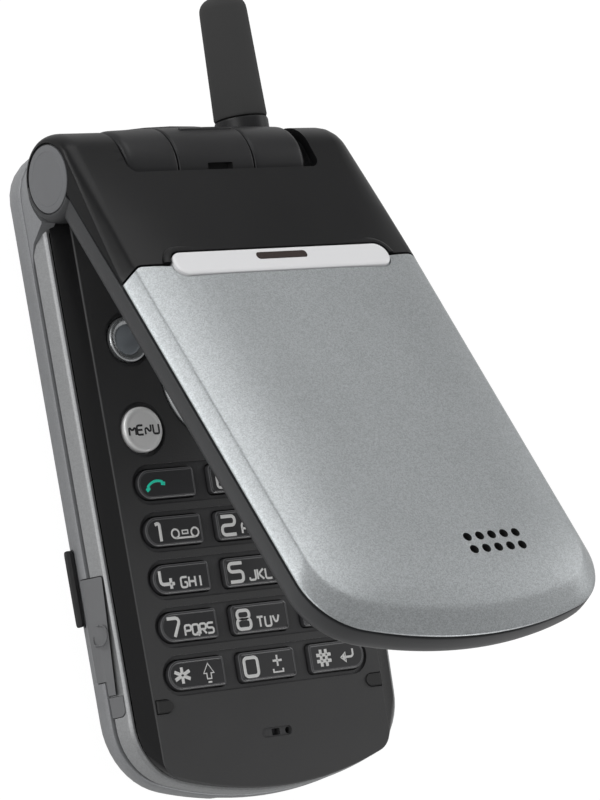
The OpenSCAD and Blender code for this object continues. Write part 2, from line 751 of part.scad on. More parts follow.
module key_call() color([0.22, 0.22, 0.23]) side_press(0, -1);
module key_mid() color([0.22, 0.22, 0.23]) mid_press(0);
module key_end() color([0.22, 0.22, 0.23]) side_press(0, 1);
module key_1() color([0.22, 0.22, 0.23]) side_press(1, -1);
module key_2() color([0.22, 0.22, 0.23]) mid_press(1);
module key_3() color([0.22, 0.22, 0.23]) side_press(1, 1);
module key_4() color([0.22, 0.22, 0.23]) side_press(2, -1);
module key_5() color([0.22, 0.22, 0.23]) mid_press(2);
module key_6() color([0.22, 0.22, 0.23]) side_press(2, 1);
module key_7() color([0.22, 0.22, 0.23]) side_press(3, -1);
module key_8() color([0.22, 0.22, 0.23]) mid_press(3);
module key_9() color([0.22, 0.22, 0.23]) side_press(3, 1);
module key_star() color([0.22, 0.22, 0.23]) side_press(4, -1);
module key_0() color([0.22, 0.22, 0.23]) mid_press(4);
module key_hash() color([0.22, 0.22, 0.23]) side_press(4, 1);
module soft_key_left() color([0.7, 0.72, 0.74]) round_press(-round_x, round_y0);
module soft_key_right() color([0.7, 0.72, 0.74]) round_press(round_x, round_y0);
module menu_key() color([0.82, 0.83, 0.83]) round_press(-round_x, round_y1);
module clear_key() color([0.82, 0.83, 0.83]) round_press(round_x, round_y1);

// Direction ring: rocks on its middle, so it is held by a groove and not by a flange
module nav_ring() color([0.7, 0.72, 0.74]) at_hinge() translate([0, nav_y, -fascia_under - 0.9]) {
    bore = ok_r + 0.3;
    rotate_extrude() polygon([[bore, 0.3], [nav_r, 0.3], [nav_r, 2.1], [nav_r - 0.5, 2.65],
                              [nav_r - 1.6, 2.75], [nav_r - 3, 2.5], [bore + 0.3, 2.35],
                              [bore, 2.2]]);
}

module ok_key() color([0.75, 0.77, 0.78]) at_hinge() translate([0, nav_y, 0])
    slab(key_top, fascia_under + 0.35) circle(ok_r);

// ---- Lid, drawn closed ----------------------------------------------------------------

// Outer form of the lid above its seam, with a slightly crowned face
module lid_outer_form() {
    w = lid_half_w;
    loft([
        [lid_seam_h, lid_plan(w - 0.1, lid_len)],
        [lid_seam_h + 0.9, lid_plan(w - 0.35, lid_len - 0.25)],
        [lid_top_h - 0.75, lid_plan(w - 1.2, lid_len - 1.1)],
        [lid_top_h - 0.25, lid_plan(w - 2.4, lid_len - 2.2)],
        [lid_top_h, lid_plan(w - 4.2, lid_len - 4)],
        [lid_top_mid, lid_plan(w - 13, lid_len - 13)]]);
}

// Knuckle with a rounded outer end, from its inner face to its outer face on the right
module knuckle(x_in, x_out) {
    axial = 2.2;
    radial = knuckle_r - cap_r - 0.2;
    x_turned(concat(
        [[0, x_in], [knuckle_r, x_in]],
        [for (a = [0:18:90]) [knuckle_r - radial * (1 - cos(a)), x_out - axial * (1 - sin(a))]],
        [[0, x_out]]));
}

// Height of the swell that runs from the flat of the lid up to the knuckles
function swell(t) = lid_top_mid + (knuckle_r - 0.05 - lid_top_mid) * (1 - cos(180 * t)) / 2;

// The two knuckles and the swell that runs from them into the lid
module knuckles() {
    swell_len = 12;
    knuckle(recess_x1 + 0.2, lid_face_x);
    mirror([1, 0, 0]) knuckle(-recess_x0 + 0.2, lid_face_x);
    edge = lid_half_w - 0.35;
    edge_r = 2.6;
    intersection() {
        along_x(-edge, edge)
            polygon(concat(
                [[-1.2, 0.5], [-swell_len, 0.5], [-swell_len, lid_top_h - 0.4]],
                [for (i = [1:8]) [-swell_len + (swell_len - 1.2) * i / 8, swell(i / 8)]]));
        translate([0, cut, 0]) rotate([90, 0, 0]) linear_extrude(swell_len + 2 * cut)
            polygon(concat([[-edge, 0], [edge, 0]],
                           arc([edge - edge_r, knuckle_r - edge_r], edge_r, 0, 90, 5),
                           arc([-edge + edge_r, knuckle_r - edge_r], edge_r, 90, 180, 5)));
    }
}

// What the outer covers take at the hinge, in (y, z)
module cover_side() {
    difference() {
        union() {
            polygon(concat([[0, 0]], arc([0, 0], 12, -60, 150, 14)));
            translate([-far, lid_seam_h]) square([far - 3.5, far]);
        }
        circle(cap_r + slack);
        polygon([[-far, -far], [-far, lid_seam_h], [-cap_r * cos(30), lid_seam_h], [0, 0], [-2, -far]]);
    }
}

// Gap of the lid that holds the barrels, with rounded lower corners
module barrel_recess() {
    x_rod(recess_x0, recess_x1, tilt_clear);
    translate([0, 0, -far]) linear_extrude(2 * far) {
        translate([recess_x0 + 1.5, -3.3]) circle(1.5);
        translate([recess_x1 - 1.5, -3.3]) circle(1.5);
        translate([recess_x0 + 1.5, -4.8]) square([recess_x1 - recess_x0 - 3, far]);
        translate([recess_x0, -3.3]) square([recess_x1 - recess_x0, far]);
    }
}

module bar_2d(extra = 0) {
    translate([0, -cover_end]) round_rect(2 * (bar_half + extra), bar_w + 2 * extra,
                                          bar_w / 2 - 0.15 + extra);
}

// Slot in the bar, in which the indicator lies
module slot_2d(extra = 0) {
    translate([0, -cover_end + 0.6]) round_rect(8.26 + 2 * extra, 1.11 + 2 * extra, 0.5);
}

// Joint between cover and plate: straight in the middle and falling away to the sides
module joint_2d(gap) {
    x1 = bar_half + 2;
    x2 = lid_half_w + 1;
    translate([0, -gap]) polygon([
        [-x2, -far], [x2, -far], [x2, -cover_end - joint_drop], [x1 + 1.5, -cover_end - 0.6],
        [x1, -cover_end - 0.1], [x1 - 1.5, -cover_end], [-x1 + 1.5, -cover_end],
        [-x1, -cover_end - 0.1], [-x1 - 1.5, -cover_end - 0.6], [-x2, -cover_end - joint_drop]]);
}

module lid_cover() color([0.12, 0.12, 0.13]) lid_place() difference() {
    intersection() {
        union() {
            lid_outer_form();
            knuckles();
        }
        along_x(-far, far) cover_side();
    }
    slab(-far, far) joint_2d(0);
    barrel_recess();
    slab(-far, -lid_top_h + 0.8) bar_2d(0.08);
    // Hollow underside
    slab(-lid_top_h + 1.4, 0) translate([0, -13]) round_rect(40, 8, 1);
}

module speaker_holes(r) {
    for (i = [-2:2], j = [-1, 1])
        translate([speaker_x + speaker_pitch * i, speaker_y + speaker_pitch / 2 * j]) circle(r);
}

module lid_plate() color([0.6, 0.63, 0.64]) lid_place() difference() {
    intersection() {
        lid_outer_form();
        slab(-far, far) joint_2d(seat);
    }
    slab(-far, -lid_top_h + 0.8) bar_2d(0.08);
    slab(-far, 0) speaker_holes(speaker_hole_r);
    // Hollow underside
    slab(-lid_top_h + 1.2, 0) translate([0, display_y]) round_rect(38, 40, 2);
    slab(-lid_top_h + 1.2, 0) translate([speaker_x, speaker_y]) round_rect(16, 10, 2);
}

module lid_bar() color([0.85, 0.85, 0.86]) lid_place() difference() {
    slab(-lid_top_mid - 0.3, -lid_top_h + 0.78) bar_2d();
    slab(-far, 0) slot_2d(seat);
}

module indicator_lens() color([0.1, 0.05, 0.03]) lid_place()
    slab(-lid_top_mid - 0.02, -lid_top_h + 0.78) slot_2d();

// Outer form of the lid below its seam
module lid_inner_form() {
    w = lid_half_w;
    loft([
        [-lid_inner_h, lid_plan(w - 2.2, lid_len - 2.6, -4)],
        [-lid_inner_h + 0.35, lid_plan(w - 1.2, lid_len - 1.6, -4)],
        [-lid_inner_h + 1.2, lid_plan(w - 0.45, lid_len - 0.9, -4)],
        [lid_seam_h - 0.6, lid_plan(w, lid_len - 0.5, -4)],
        [lid_seam_h - seat, lid_plan(w, lid_len - 0.5, -4)]]);
}

module lid_shell() color([0.3, 0.31, 0.32]) lid_place() difference() {
    glass_w = display_w + 2 * rim;
    glass_h = display_h + 8;
    union() {
        lid_inner_form();
        difference() {
            knuckles();
            along_x(-far, far) offset(delta = seat) cover_side();
        }
    }
    barrel_recess();
    // Pockets for the display and the receiver, open under the outer covers
    slab(-far, 0.4) translate([0, display_y]) round_rect(display_w + 5, display_h + 6, 1.5);
    slab(-far, 0.4) translate([0, receiver_y]) round_rect(24, 5.2, 1);
    // Seat of the window, and openings for the display and the receiver
    slab(lid_inner_h - 0.85, far) translate([0, display_y]) round_rect(glass_w, glass_h, 2);
    slab(0, far) translate([0, display_y]) round_rect(display_w, display_h, 1);
    slab(0, far) for (i = [-1:1]) translate([0, receiver_y + 1.3 * i]) round_rect(8, 0.6, 0.29);
    // Bores of the cartridge and the pin, and seats of the caps
    x_rod(-far, recess_x0, cartridge_r + seat);
    x_rod(recess_x1, lid_half_w - 2.6, pin_r + run_gap);
    x_rod(-far, -lid_half_w + 0.5, cap_r + 0.1);
    x_rod(lid_half_w - 0.5, far, cap_r + 0.1);
    for (p = lid_screw_spots) translate([p[0], p[1], -far]) {
        cylinder(h = far + lid_seam_h, r = lid_screw_r + 0.04);
        cylinder(h = far - lid_inner_h + 1, r = lid_head_r + 0.05);
    }
    for (x = [-1, 1]) translate([x * pad_x, pad_y, -far]) cylinder(h = far - lid_inner_h + 0.5, r = 1.35);
    // Channel of the flex cable
    box(recess_x1 + 1.7, recess_x1 + 4.5, -14, -2, -1.2, far);
}

module display_glass() color([0.08, 0.1, 0.12]) lid_place()
    slab(lid_inner_h - 0.8, lid_inner_h - 0.02) translate([0, display_y])
        round_rect(display_w + 2 * rim - 0.2, display_h + 7.8, 1.9);

module display_module() color([0.4, 0.42, 0.45]) lid_place()
    slab(-lid_seam_h, 0.38) translate([0, display_y]) round_rect(display_w + 3.5, display_h + 4, 1);

module receiver() color([0.3, 0.3, 0.32]) lid_place()
    slab(-1.2, 0.38) translate([0, receiver_y]) round_rect(14, 4.8, 1);

module loudspeaker() color([0.35, 0.35, 0.36]) lid_place()
    slab(-lid_top_h + 1.25, -lid_seam_h - seat) translate([speaker_x, speaker_y])
        round_rect(15, 9.4, 2);

module hinge_caps() color([0.45, 0.46, 0.48]) lid_place() {
    x_rod(-lid_face_x, -lid_half_w + 0.48, cap_r);
    x_rod(lid_half_w - 0.48, lid_face_x, cap_r);
}

module hinge_module() color([0.72, 0.73, 0.75]) lid_place() {
    x_rod(-lid_half_w + 0.52, recess_x0 + 0.1, cartridge_r);
    x_rod(recess_x0 + 0.05, nose_x, cartridge_nose_r);
}

module lid_pads() color([0.1, 0.1, 0.1]) lid_place()
    for (x = [-1, 1]) translate([x * pad_x, pad_y, -lid_inner_h - 0.35]) cylinder(h = 0.83, r = 1.3);

module lid_screws() color([0.5, 0.51, 0.53]) lid_place()
    for (p = lid_screw_spots) translate([p[0], p[1], -lid_inner_h + 0.3]) {
        cylinder(h = lid_inner_h + lid_seam_h - 0.4, r = lid_screw_r);
        cylinder(h = 0.68, r = lid_head_r);
    }

module flex_cable() color([0.75, 0.45, 0.1]) lid_place()
    box(recess_x1 + 1.9, recess_x1 + 4.3, -13.9, -6, 0.6, 0.75);

rear_case();
side_band();
key_fascia();
hinge_housing();
battery_pack();
battery_latch();
main_board();
shield_cans();
keypad_mat();
microphone();
system_connector();
headset_jack();
headset_door();
door_anchor();
sim_holder();
vibration_motor();
side_key();
antenna_stub();
antenna_ferrule();
case_screws();
panel_bumpers();
hinge_pin();
camera_barrel();
camera_window();
camera_module();
nav_ring();
ok_key();
soft_key_left();
soft_key_right();
menu_key();
clear_key();
key_call();
key_mid();
key_end();
key_1();
key_2();
key_3();
key_4();
key_5();
key_6();
key_7();
key_8();
key_9();
key_star();
key_0();
key_hash();
lid_cover();
lid_plate();
lid_bar();
indicator_lens();
lid_shell();
display_glass();
display_module();
receiver();
loudspeaker();
hinge_caps();
hinge_module();
lid_pads();
lid_screws();
flex_cable();
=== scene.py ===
"""Clamshell telephone, half open: its shells, hinge, keys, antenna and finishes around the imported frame.

Pieces are drawn in millimetres in hinge coordinates: the origin is the middle of the hinge axis, +X is right,
+Y points at the antenna and +Z out of the keypad. Lid pieces are drawn closed. Settling a piece turns it open
with the lid, brings it to its place in the frame and scales it to metres.
"""

import json
import logging
import math
from collections.abc import Callable, Sequence
from dataclasses import dataclass, field, replace
from enum import Enum

import bmesh
import bpy
from mathutils import Matrix, Vector

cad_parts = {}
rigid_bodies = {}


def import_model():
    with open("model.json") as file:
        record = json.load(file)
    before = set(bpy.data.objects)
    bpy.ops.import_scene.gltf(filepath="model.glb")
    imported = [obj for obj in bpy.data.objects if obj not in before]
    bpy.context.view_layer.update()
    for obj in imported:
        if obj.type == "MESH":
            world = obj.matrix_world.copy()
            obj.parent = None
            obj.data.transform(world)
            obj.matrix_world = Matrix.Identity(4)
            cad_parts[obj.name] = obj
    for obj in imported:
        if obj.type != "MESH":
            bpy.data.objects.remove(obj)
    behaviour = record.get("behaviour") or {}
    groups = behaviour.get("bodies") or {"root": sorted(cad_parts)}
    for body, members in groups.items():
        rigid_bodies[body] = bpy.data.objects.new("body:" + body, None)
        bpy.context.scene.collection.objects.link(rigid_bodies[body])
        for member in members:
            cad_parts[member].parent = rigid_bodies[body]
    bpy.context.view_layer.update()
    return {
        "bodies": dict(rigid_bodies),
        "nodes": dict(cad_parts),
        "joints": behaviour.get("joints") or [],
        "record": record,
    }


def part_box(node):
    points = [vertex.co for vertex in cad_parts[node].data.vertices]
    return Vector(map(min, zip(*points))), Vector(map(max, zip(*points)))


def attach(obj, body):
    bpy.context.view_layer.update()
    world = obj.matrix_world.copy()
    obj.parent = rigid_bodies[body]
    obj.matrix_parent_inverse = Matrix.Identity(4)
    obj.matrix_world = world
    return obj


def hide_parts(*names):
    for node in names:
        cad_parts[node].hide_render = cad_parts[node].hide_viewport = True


LOG = logging.getLogger("telephone")
MM = 0.001
SAME_PLACE = 1e-3  # two vertices closer than this are one, in millimetres
SMOOTH_ANGLE = math.radians(32)
FAR = 40.0  # reach of a tool that cuts right through
UP = (0, 0, 1)

Obj = bpy.types.Object
Tree = bpy.types.NodeTree
Node = bpy.types.Node
Point = tuple[float, float]
Path = list[tuple[float, ...]]  # a start, then (u, v) lines and (centre u, centre v, degrees, steps) arcs
Color = tuple[float, float, float]
Test = Callable[[Vector, Vector], bool]


# ---- Modelling by hand ------------------------------------------------------------------


class Plane(Enum):
    """Plane that an outline is drawn in: the directions of its u, its v and its normal."""

    PLAN = ((1, 0, 0), (0, 1, 0), (0, 0, 1))
    SIDE = ((0, 1, 0), (0, 0, 1), (1, 0, 0))
    FRONT = ((1, 0, 0), (0, 0, 1), (0, -1, 0))

    def at(self, u: float, v: float, w: float = 0.0) -> Vector:
        """Place of a point of the plane that lies w along its normal."""
        along_u, along_v, normal = (Vector(d) for d in self.value)
        return along_u * u + along_v * v + normal * w

    @property
    def normal(self) -> tuple[float, float, float]:
        """Direction across the plane."""
        return self.value[2]


class Join(Enum):
    """How a tool changes a piece."""

    CUT = "DIFFERENCE"
    ADD = "UNION"
    KEEP = "INTERSECT"


def take(*objs: Obj) -> None:
    """Selects these objects and nothing else, and makes the first one active."""
    if bpy.context.mode != "OBJECT":
        bpy.ops.object.mode_set(mode="OBJECT")
    bpy.ops.object.select_all(action="DESELECT")
    for obj in objs:
        obj.select_set(True)
    if objs:
        bpy.context.view_layer.objects.active = objs[0]


class Pen:
    """Draws outlines in one mesh, by extruding a vertex along lines and spinning it round arcs.

    Every outline has a number, which its vertices carry along, also when they are extruded or spun.
    """

    TAG = "outline"

    def __init__(self, name: str, plane: Plane = Plane.PLAN) -> None:
        """Starts an empty mesh in edit mode."""
        take()
        bpy.ops.mesh.primitive_plane_add(size=1.0)
        self.obj = bpy.context.active_object
        self.obj.name = self.obj.data.name = name
        self.plane = plane
        self.outlines = 0
        bpy.ops.object.mode_set(mode="EDIT")
        bpy.ops.mesh.delete(type="VERT")
        bmesh.from_edit_mesh(self.obj.data).verts.layers.int.new(self.TAG)

    def choose(self, test: Callable[[bmesh.types.BMVert, int], bool]) -> int:
        """Selects the vertices that pass a test, with the edges and faces between them, and counts them."""
        bpy.ops.mesh.select_all(action="DESELECT")
        mesh = bmesh.from_edit_mesh(self.obj.data)
        tag = mesh.verts.layers.int[self.TAG]
        chosen = [vert for vert in mesh.verts if test(vert, vert[tag])]
        for vert in chosen:
            vert.select = True
        mesh.select_flush(True)
        return len(chosen)

    def pick(self, *outlines: int) -> None:
        """Selects whole outlines by their numbers."""
        self.choose(lambda vert, number: number in outlines)

    def chain(self, path: Path, height: float = 0.0) -> int:
        """Draws an open outline at a height along the plane's normal.

        Args:
            path: The start, then lines and arcs.
            height: Where the outline lies along the normal.

        Returns:
            The number of the outline.
        """
        self.outlines += 1
        bpy.ops.mesh.select_all(action="DESELECT")
        bpy.ops.mesh.primitive_plane_add(size=1.0)
        bpy.ops.mesh.merge(type="CENTER")
        mesh = bmesh.from_edit_mesh(self.obj.data)
        tag = mesh.verts.layers.int[self.TAG]
        for vert in mesh.verts:
            if vert.select:
                vert[tag] = self.outlines
        here = self.plane.at(*path[0], height)
        bpy.ops.transform.translate(value=here)
        for step in path[1:]:
            if len(step) == 2:
                there = self.plane.at(*step, height)
                bpy.ops.mesh.extrude_vertices_move(TRANSFORM_OT_translate={"value": there - here})
                here = there
            else:
                u, v, degrees, steps = step
                centre = self.plane.at(u, v, height)
                self.spin(degrees, int(steps), centre, self.plane.normal)
                turn = Matrix.Rotation(math.radians(degrees), 3, Vector(self.plane.normal))
                here = centre + turn @ (here - centre)
        return self.outlines

    def ring(self, path: Path, height: float = 0.0) -> int:
        """Draws a closed outline at a height, and returns its number."""
        outline = self.chain(path, height)
        if self.choose(lambda vert, number: number == outline and len(vert.link_edges) == 1):
            mesh = bmesh.from_edit_mesh(self.obj.data)
            ends = [vert.co for vert in mesh.verts if vert.select]
            if (ends[0] - ends[1]).length < SAME_PLACE:
                bpy.ops.mesh.remove_doubles(threshold=SAME_PLACE)
            else:
                bpy.ops.mesh.edge_face_add()
        return outline

    def spin(self, degrees: float, steps: int, centre: Vector, axis: Sequence[float]) -> None:
        """Turns what is selected about an axis, counter-clockwise, leaving a trail of edges or faces."""
        bpy.ops.mesh.spin(
            steps=steps, dupli=False, angle=-math.radians(degrees), center=centre, axis=axis
        )

    def bridge(self, first: int, second: int) -> None:
        """Joins two outlines with faces."""
        self.pick(first, second)
        bpy.ops.mesh.bridge_edge_loops()

    def cap(self, outline: int) -> None:
        """Closes an outline with one face."""
        self.pick(outline)
        bpy.ops.mesh.edge_face_add()

    def lift(self) -> Obj:
        """Merges the seams, turns the faces outwards and leaves edit mode."""
        bpy.ops.mesh.select_all(action="SELECT")
        bpy.ops.mesh.remove_doubles(threshold=SAME_PLACE / 2)
        bpy.ops.mesh.normals_make_consistent(inside=False)
        bpy.ops.object.mode_set(mode="OBJECT")
        self.obj.data.attributes.remove(self.obj.data.attributes[self.TAG])
        return self.obj


def loft(name: str, rings: Sequence[tuple[float, Path]], plane: Plane = Plane.PLAN) -> Obj:
    """Closed body through outlines at rising heights along a plane's normal."""
    pen = Pen(name, plane)
    loops = [pen.ring(path, height) for height, path in rings]
    for low, high in zip(loops, loops[1:]):
        pen.bridge(low, high)
    pen.cap(loops[0])
    pen.cap(loops[-1])
    return pen.lift()


def prism(
    name: str, path: Path, low: float, high: float, plane: Plane = Plane.PLAN
) -> Obj:
    """Straight body with one outline, between two heights."""
    return loft(name, [(low, path), (high, path)], plane)


def turned(name: str, profile: Path, steps: int = 64) -> Obj:
    """Body of revolution about the X axis, from a profile in (distance along X, radius)."""
    pen = Pen(name, Plane.FRONT)
    pen.pick(pen.chain(profile))
    pen.spin(360, steps, Vector(), (1, 0, 0))
    return pen.lift()


def put(obj: Obj, matrix: Matrix) -> Obj:
    """Moves a body by a transform, which goes into its mesh."""
    take(obj)
    obj.matrix_world = matrix
    bpy.ops.object.transform_apply(location=True, rotation=True, scale=True)
    return obj


def stand(obj: Obj, base: Sequence[float], axis: Sequence[float]) -> Obj:
    """Turns a body from the X axis onto another axis and moves its origin to a base point."""
    turn = Vector((1, 0, 0)).rotation_difference(Vector(axis)).to_matrix().to_4x4()
    return put(obj, Matrix.Translation(Vector(base)) @ turn)


def tilt(obj: Obj, degrees: float) -> Obj:
    """Turns a body about the hinge axis."""
    return put(obj, Matrix.Rotation(math.radians(degrees), 4, "X"))


def rod(name: str, x0: float, x1: float, radius: float) -> Obj:
    """Plain cylinder along X, for cutting bores and seats."""
    return turned(name, [(x0, 0), (x0, radius), (x1, radius), (x1, 0)], 72)


def block(name: str, low: Sequence[float], high: Sequence[float], round_off: float = 0.0) -> Obj:
    """Box between two corners, with its edges rounded off where asked."""
    take()
    middle = [(a + b) / 2 for a, b in zip(low, high)]
    size = [abs(b - a) for a, b in zip(low, high)]
    bpy.ops.mesh.primitive_cube_add(size=1.0, location=middle, scale=size)
    obj = bpy.context.active_object
    obj.name = obj.data.name = name
    bpy.ops.object.transform_apply(location=True, rotation=True, scale=True)
    if round_off:
        bpy.ops.object.mode_set(mode="EDIT")
        bpy.ops.mesh.select_all(action="SELECT")
        bpy.ops.mesh.bevel(offset=round_off, segments=3)
        bpy.ops.object.mode_set(mode="OBJECT")
    return obj


def apply_modifier(obj: Obj, kind: str, **settings: object) -> Obj:
    """Adds a modifier with these settings to a piece and applies it."""
    take(obj)
    modifier = obj.modifiers.new(kind.title(), kind)
    for name, value in settings.items():
        setattr(modifier, name, value)
    bpy.ops.object.modifier_apply(modifier=modifier.name)
    return obj


def combine(obj: Obj, how: Join, *tools: Obj) -> Obj:
    """Cuts a piece with tools, adds them to it, or keeps what they share. The tools are used up."""
    for tool in tools:
        apply_modifier(obj, "BOOLEAN", object=tool, operation=how.value, solver="EXACT")
        bpy.data.objects.remove(tool)
    return obj


def soften(obj: Obj, width: float = 0.1, segments: int = 2, degrees: float = 50) -> Obj:
    """Rounds the edges of a piece that are sharper than an angle."""
    return apply_modifier(obj, "BEVEL", width=width, segments=segments, limit_method="ANGLE",
                          angle_limit=math.radians(degrees), use_clamp_overlap=True)


def weld(obj: Obj) -> Obj:
    """Merges vertices that share a place, and turns the faces outwards."""
    take(obj)
    bpy.ops.object.mode_set(mode="EDIT")
    bpy.ops.mesh.select_all(action="SELECT")
    bpy.ops.mesh.remove_doubles(threshold=SAME_PLACE / 2)
    bpy.ops.mesh.normals_make_consistent(inside=False)
    bpy.ops.object.mode_set(mode="OBJECT")
    return obj


def joined(first: Obj, *others: Obj) -> Obj:
    """Makes one object of several, each staying a closed shell."""
    if others:
        take(first, *others)
        bpy.ops.object.join()
    return first


# ---- Outlines ---------------------------------------------------------------------------


def angles(step: float, count: int, start: float = 0.0) -> list[float]:
    """Evenly spaced angles in radians, from a start and a step in degrees."""
    return [math.radians(start + step * i) for i in range(count)]


def moved(path: Path, u: float, v: float) -> Path:
    """The same path somewhere else."""
    return [(p[0] + u, p[1] + v, *p[2:]) for p in path]


def mirrored(path: Path) -> Path:
    """The same path on the other side of the phone."""
    return [(-p[0], p[1]) if len(p) == 2 else (-p[0], p[1], -p[2], p[3]) for p in path]


def rounded_rect(x: float, y: float, width: float, height: float, radius: float, steps: int = 6) -> Path:
    """Rectangle about a middle point, with rounded corners."""
    r = min(radius, width / 2 - 0.01, height / 2 - 0.01)
    a, b = width / 2 - r, height / 2 - r
    return [
        (x + a + r, y - b), (x + a + r, y + b), (x + a, y + b, 90, steps),
        (x - a, y + b + r), (x - a, y + b, 90, steps), (x - a - r, y - b), (x - a, y - b, 90, steps),
        (x + a, y - b - r), (x + a, y - b, 90, steps),
    ]


def circle(x: float, y: float, radius: float, steps: int = 48) -> Path:
    """Full circle about a middle point."""
    return [(x + radius, y), (x, y, 360, steps)]


def end_arcs(half_w: float, y_end: float, end_r: float, corner_r: float) -> tuple[float, float, float, float]:
    """Where a rounded end turns.

    Args:
        half_w: Half the width at the end.
        y_end: Where the end's arc reaches furthest.
        end_r: Radius of the end's arc.
        corner_r: Radius of the corners.

    Returns:
        The corners' middle x and y, the end arc's middle y, and the angle that a corner turns.
    """
    x = half_w - corner_r
    reach = end_r - corner_r
    middle = y_end + end_r
    y = middle - math.sqrt(reach * reach - x * x)
    return x, y, middle, math.degrees(math.atan2(middle - y, x))


# ---- Finishes ---------------------------------------------------------------------------

SOCKET_KINDS = {"Color": "NodeSocketColor", "Normal": "NodeSocketVector"}  # the others are plain numbers


def feed(tree: Tree, node: Node, inputs: dict[str | int, object]) -> Node:
    """Sets inputs of a node to values, or links them where a socket is given."""
    for label, value in inputs.items():
        if isinstance(value, bpy.types.NodeSocket):
            tree.links.new(value, node.inputs[label])
        else:
            node.inputs[label].default_value = value
    return node


def add_node(tree: Tree, kind: str, inputs: dict[str | int, object], **settings: object) -> Node:
    """Adds a shader node with these settings, and feeds its inputs."""
    node = tree.nodes.new(f"ShaderNode{kind}")
    for name, value in settings.items():
        setattr(node, name, value)
    return feed(tree, node, inputs)


def new_group(name: str, inputs: dict[str, object], outputs: Sequence[str]) -> tuple[Tree, object, Node]:
    """Empty shader node group with named sockets.

    Args:
        name: The group's name.
        inputs: Default value of each input.
        outputs: Name of each output.

    Returns:
        The tree, the sockets that bring its inputs, and its output node.
    """
    tree = bpy.data.node_groups.new(name, "ShaderNodeTree")
    for label, value in inputs.items():
        kind = SOCKET_KINDS.get(label, "NodeSocketFloat")
        tree.interface.new_socket(label, in_out="INPUT", socket_type=kind).default_value = value
    for label in outputs:
        kind = SOCKET_KINDS.get(label, "NodeSocketFloat")
        tree.interface.new_socket(label, in_out="OUTPUT", socket_type=kind)
    return tree, tree.nodes.new("NodeGroupInput").outputs, tree.nodes.new("NodeGroupOutput")


def moulded_group() -> Tree:
    """Fine spark-eroded grain of moulded plastic, with a faint cloudiness in its colour and gloss."""
    tree, given, result = new_group(
        "moulded_surface",
        {"Color": (0.5, 0.5, 0.5, 1), "Roughness": 0.5, "Grain Size": 4000.0, "Grain Depth": 0.2, "Cloud": 0.1},
        ("Color", "Roughness", "Normal"))
    place = add_node(tree, "TexCoord", {}).outputs["Object"]
    fine = add_node(tree, "TexNoise", {"Detail": 2.0, "Vector": place, "Scale": given["Grain Size"]}).outputs["Fac"]
    bump = add_node(tree, "Bump", {"Distance": 0.00006, "Strength": given["Grain Depth"], "Height": fine})
    cloud = add_node(tree, "TexNoise", {"Scale": 90.0, "Detail": 5.0, "Vector": place})
    tone = add_node(tree, "MapRange", {"From Min": 0.3, "From Max": 0.7, "To Min": -1.0, "To Max": 1.0,
                                       "Value": cloud.outputs["Fac"]})
    speck = add_node(tree, "Math", {0: fine, 1: 1.2, 2: tone.outputs["Result"]}, operation="MULTIPLY_ADD")
    amount = add_node(tree, "Math", {0: speck.outputs[0], 1: given["Cloud"], 2: 1.0}, operation="MULTIPLY_ADD")
    shade = add_node(tree, "VectorMath", {0: given["Color"], "Scale": amount.outputs[0]}, operation="SCALE")
    gloss = add_node(tree, "Math", {0: given["Roughness"], 1: amount.outputs[0]}, operation="MULTIPLY")
    feed(tree, result, {"Color": shade.outputs[0], "Roughness": gloss.outputs[0], "Normal": bump.outputs["Normal"]})
    return tree


def flake_group() -> Tree:
    """Metal flakes in paint: each small cell leans its own way and has its own brightness."""
    tree, given, result = new_group(
        "paint_flakes", {"Color": (0.5, 0.5, 0.5, 1), "Flake Size": 7000.0, "Sparkle": 0.2, "Lean": 0.2},
        ("Color", "Normal"))
    place = add_node(tree, "TexCoord", {}).outputs["Object"]
    cells = add_node(tree, "TexVoronoi", {"Vector": place, "Scale": given["Flake Size"]})
    split = add_node(tree, "SeparateColor", {0: cells.outputs["Color"]})
    tone = add_node(tree, "Math", {0: split.outputs[0], 1: 0.5}, operation="SUBTRACT")
    amount = add_node(tree, "Math", {0: tone.outputs[0], 1: given["Sparkle"], 2: 1.0}, operation="MULTIPLY_ADD")
    shade = add_node(tree, "VectorMath", {0: given["Color"], "Scale": amount.outputs[0]}, operation="SCALE")
    bump = add_node(tree, "Bump", {"Distance": 0.00004, "Strength": given["Lean"], "Height": split.outputs[1]})
    feed(tree, result, {"Color": shade.outputs[0], "Normal": bump.outputs["Normal"]})
    return tree


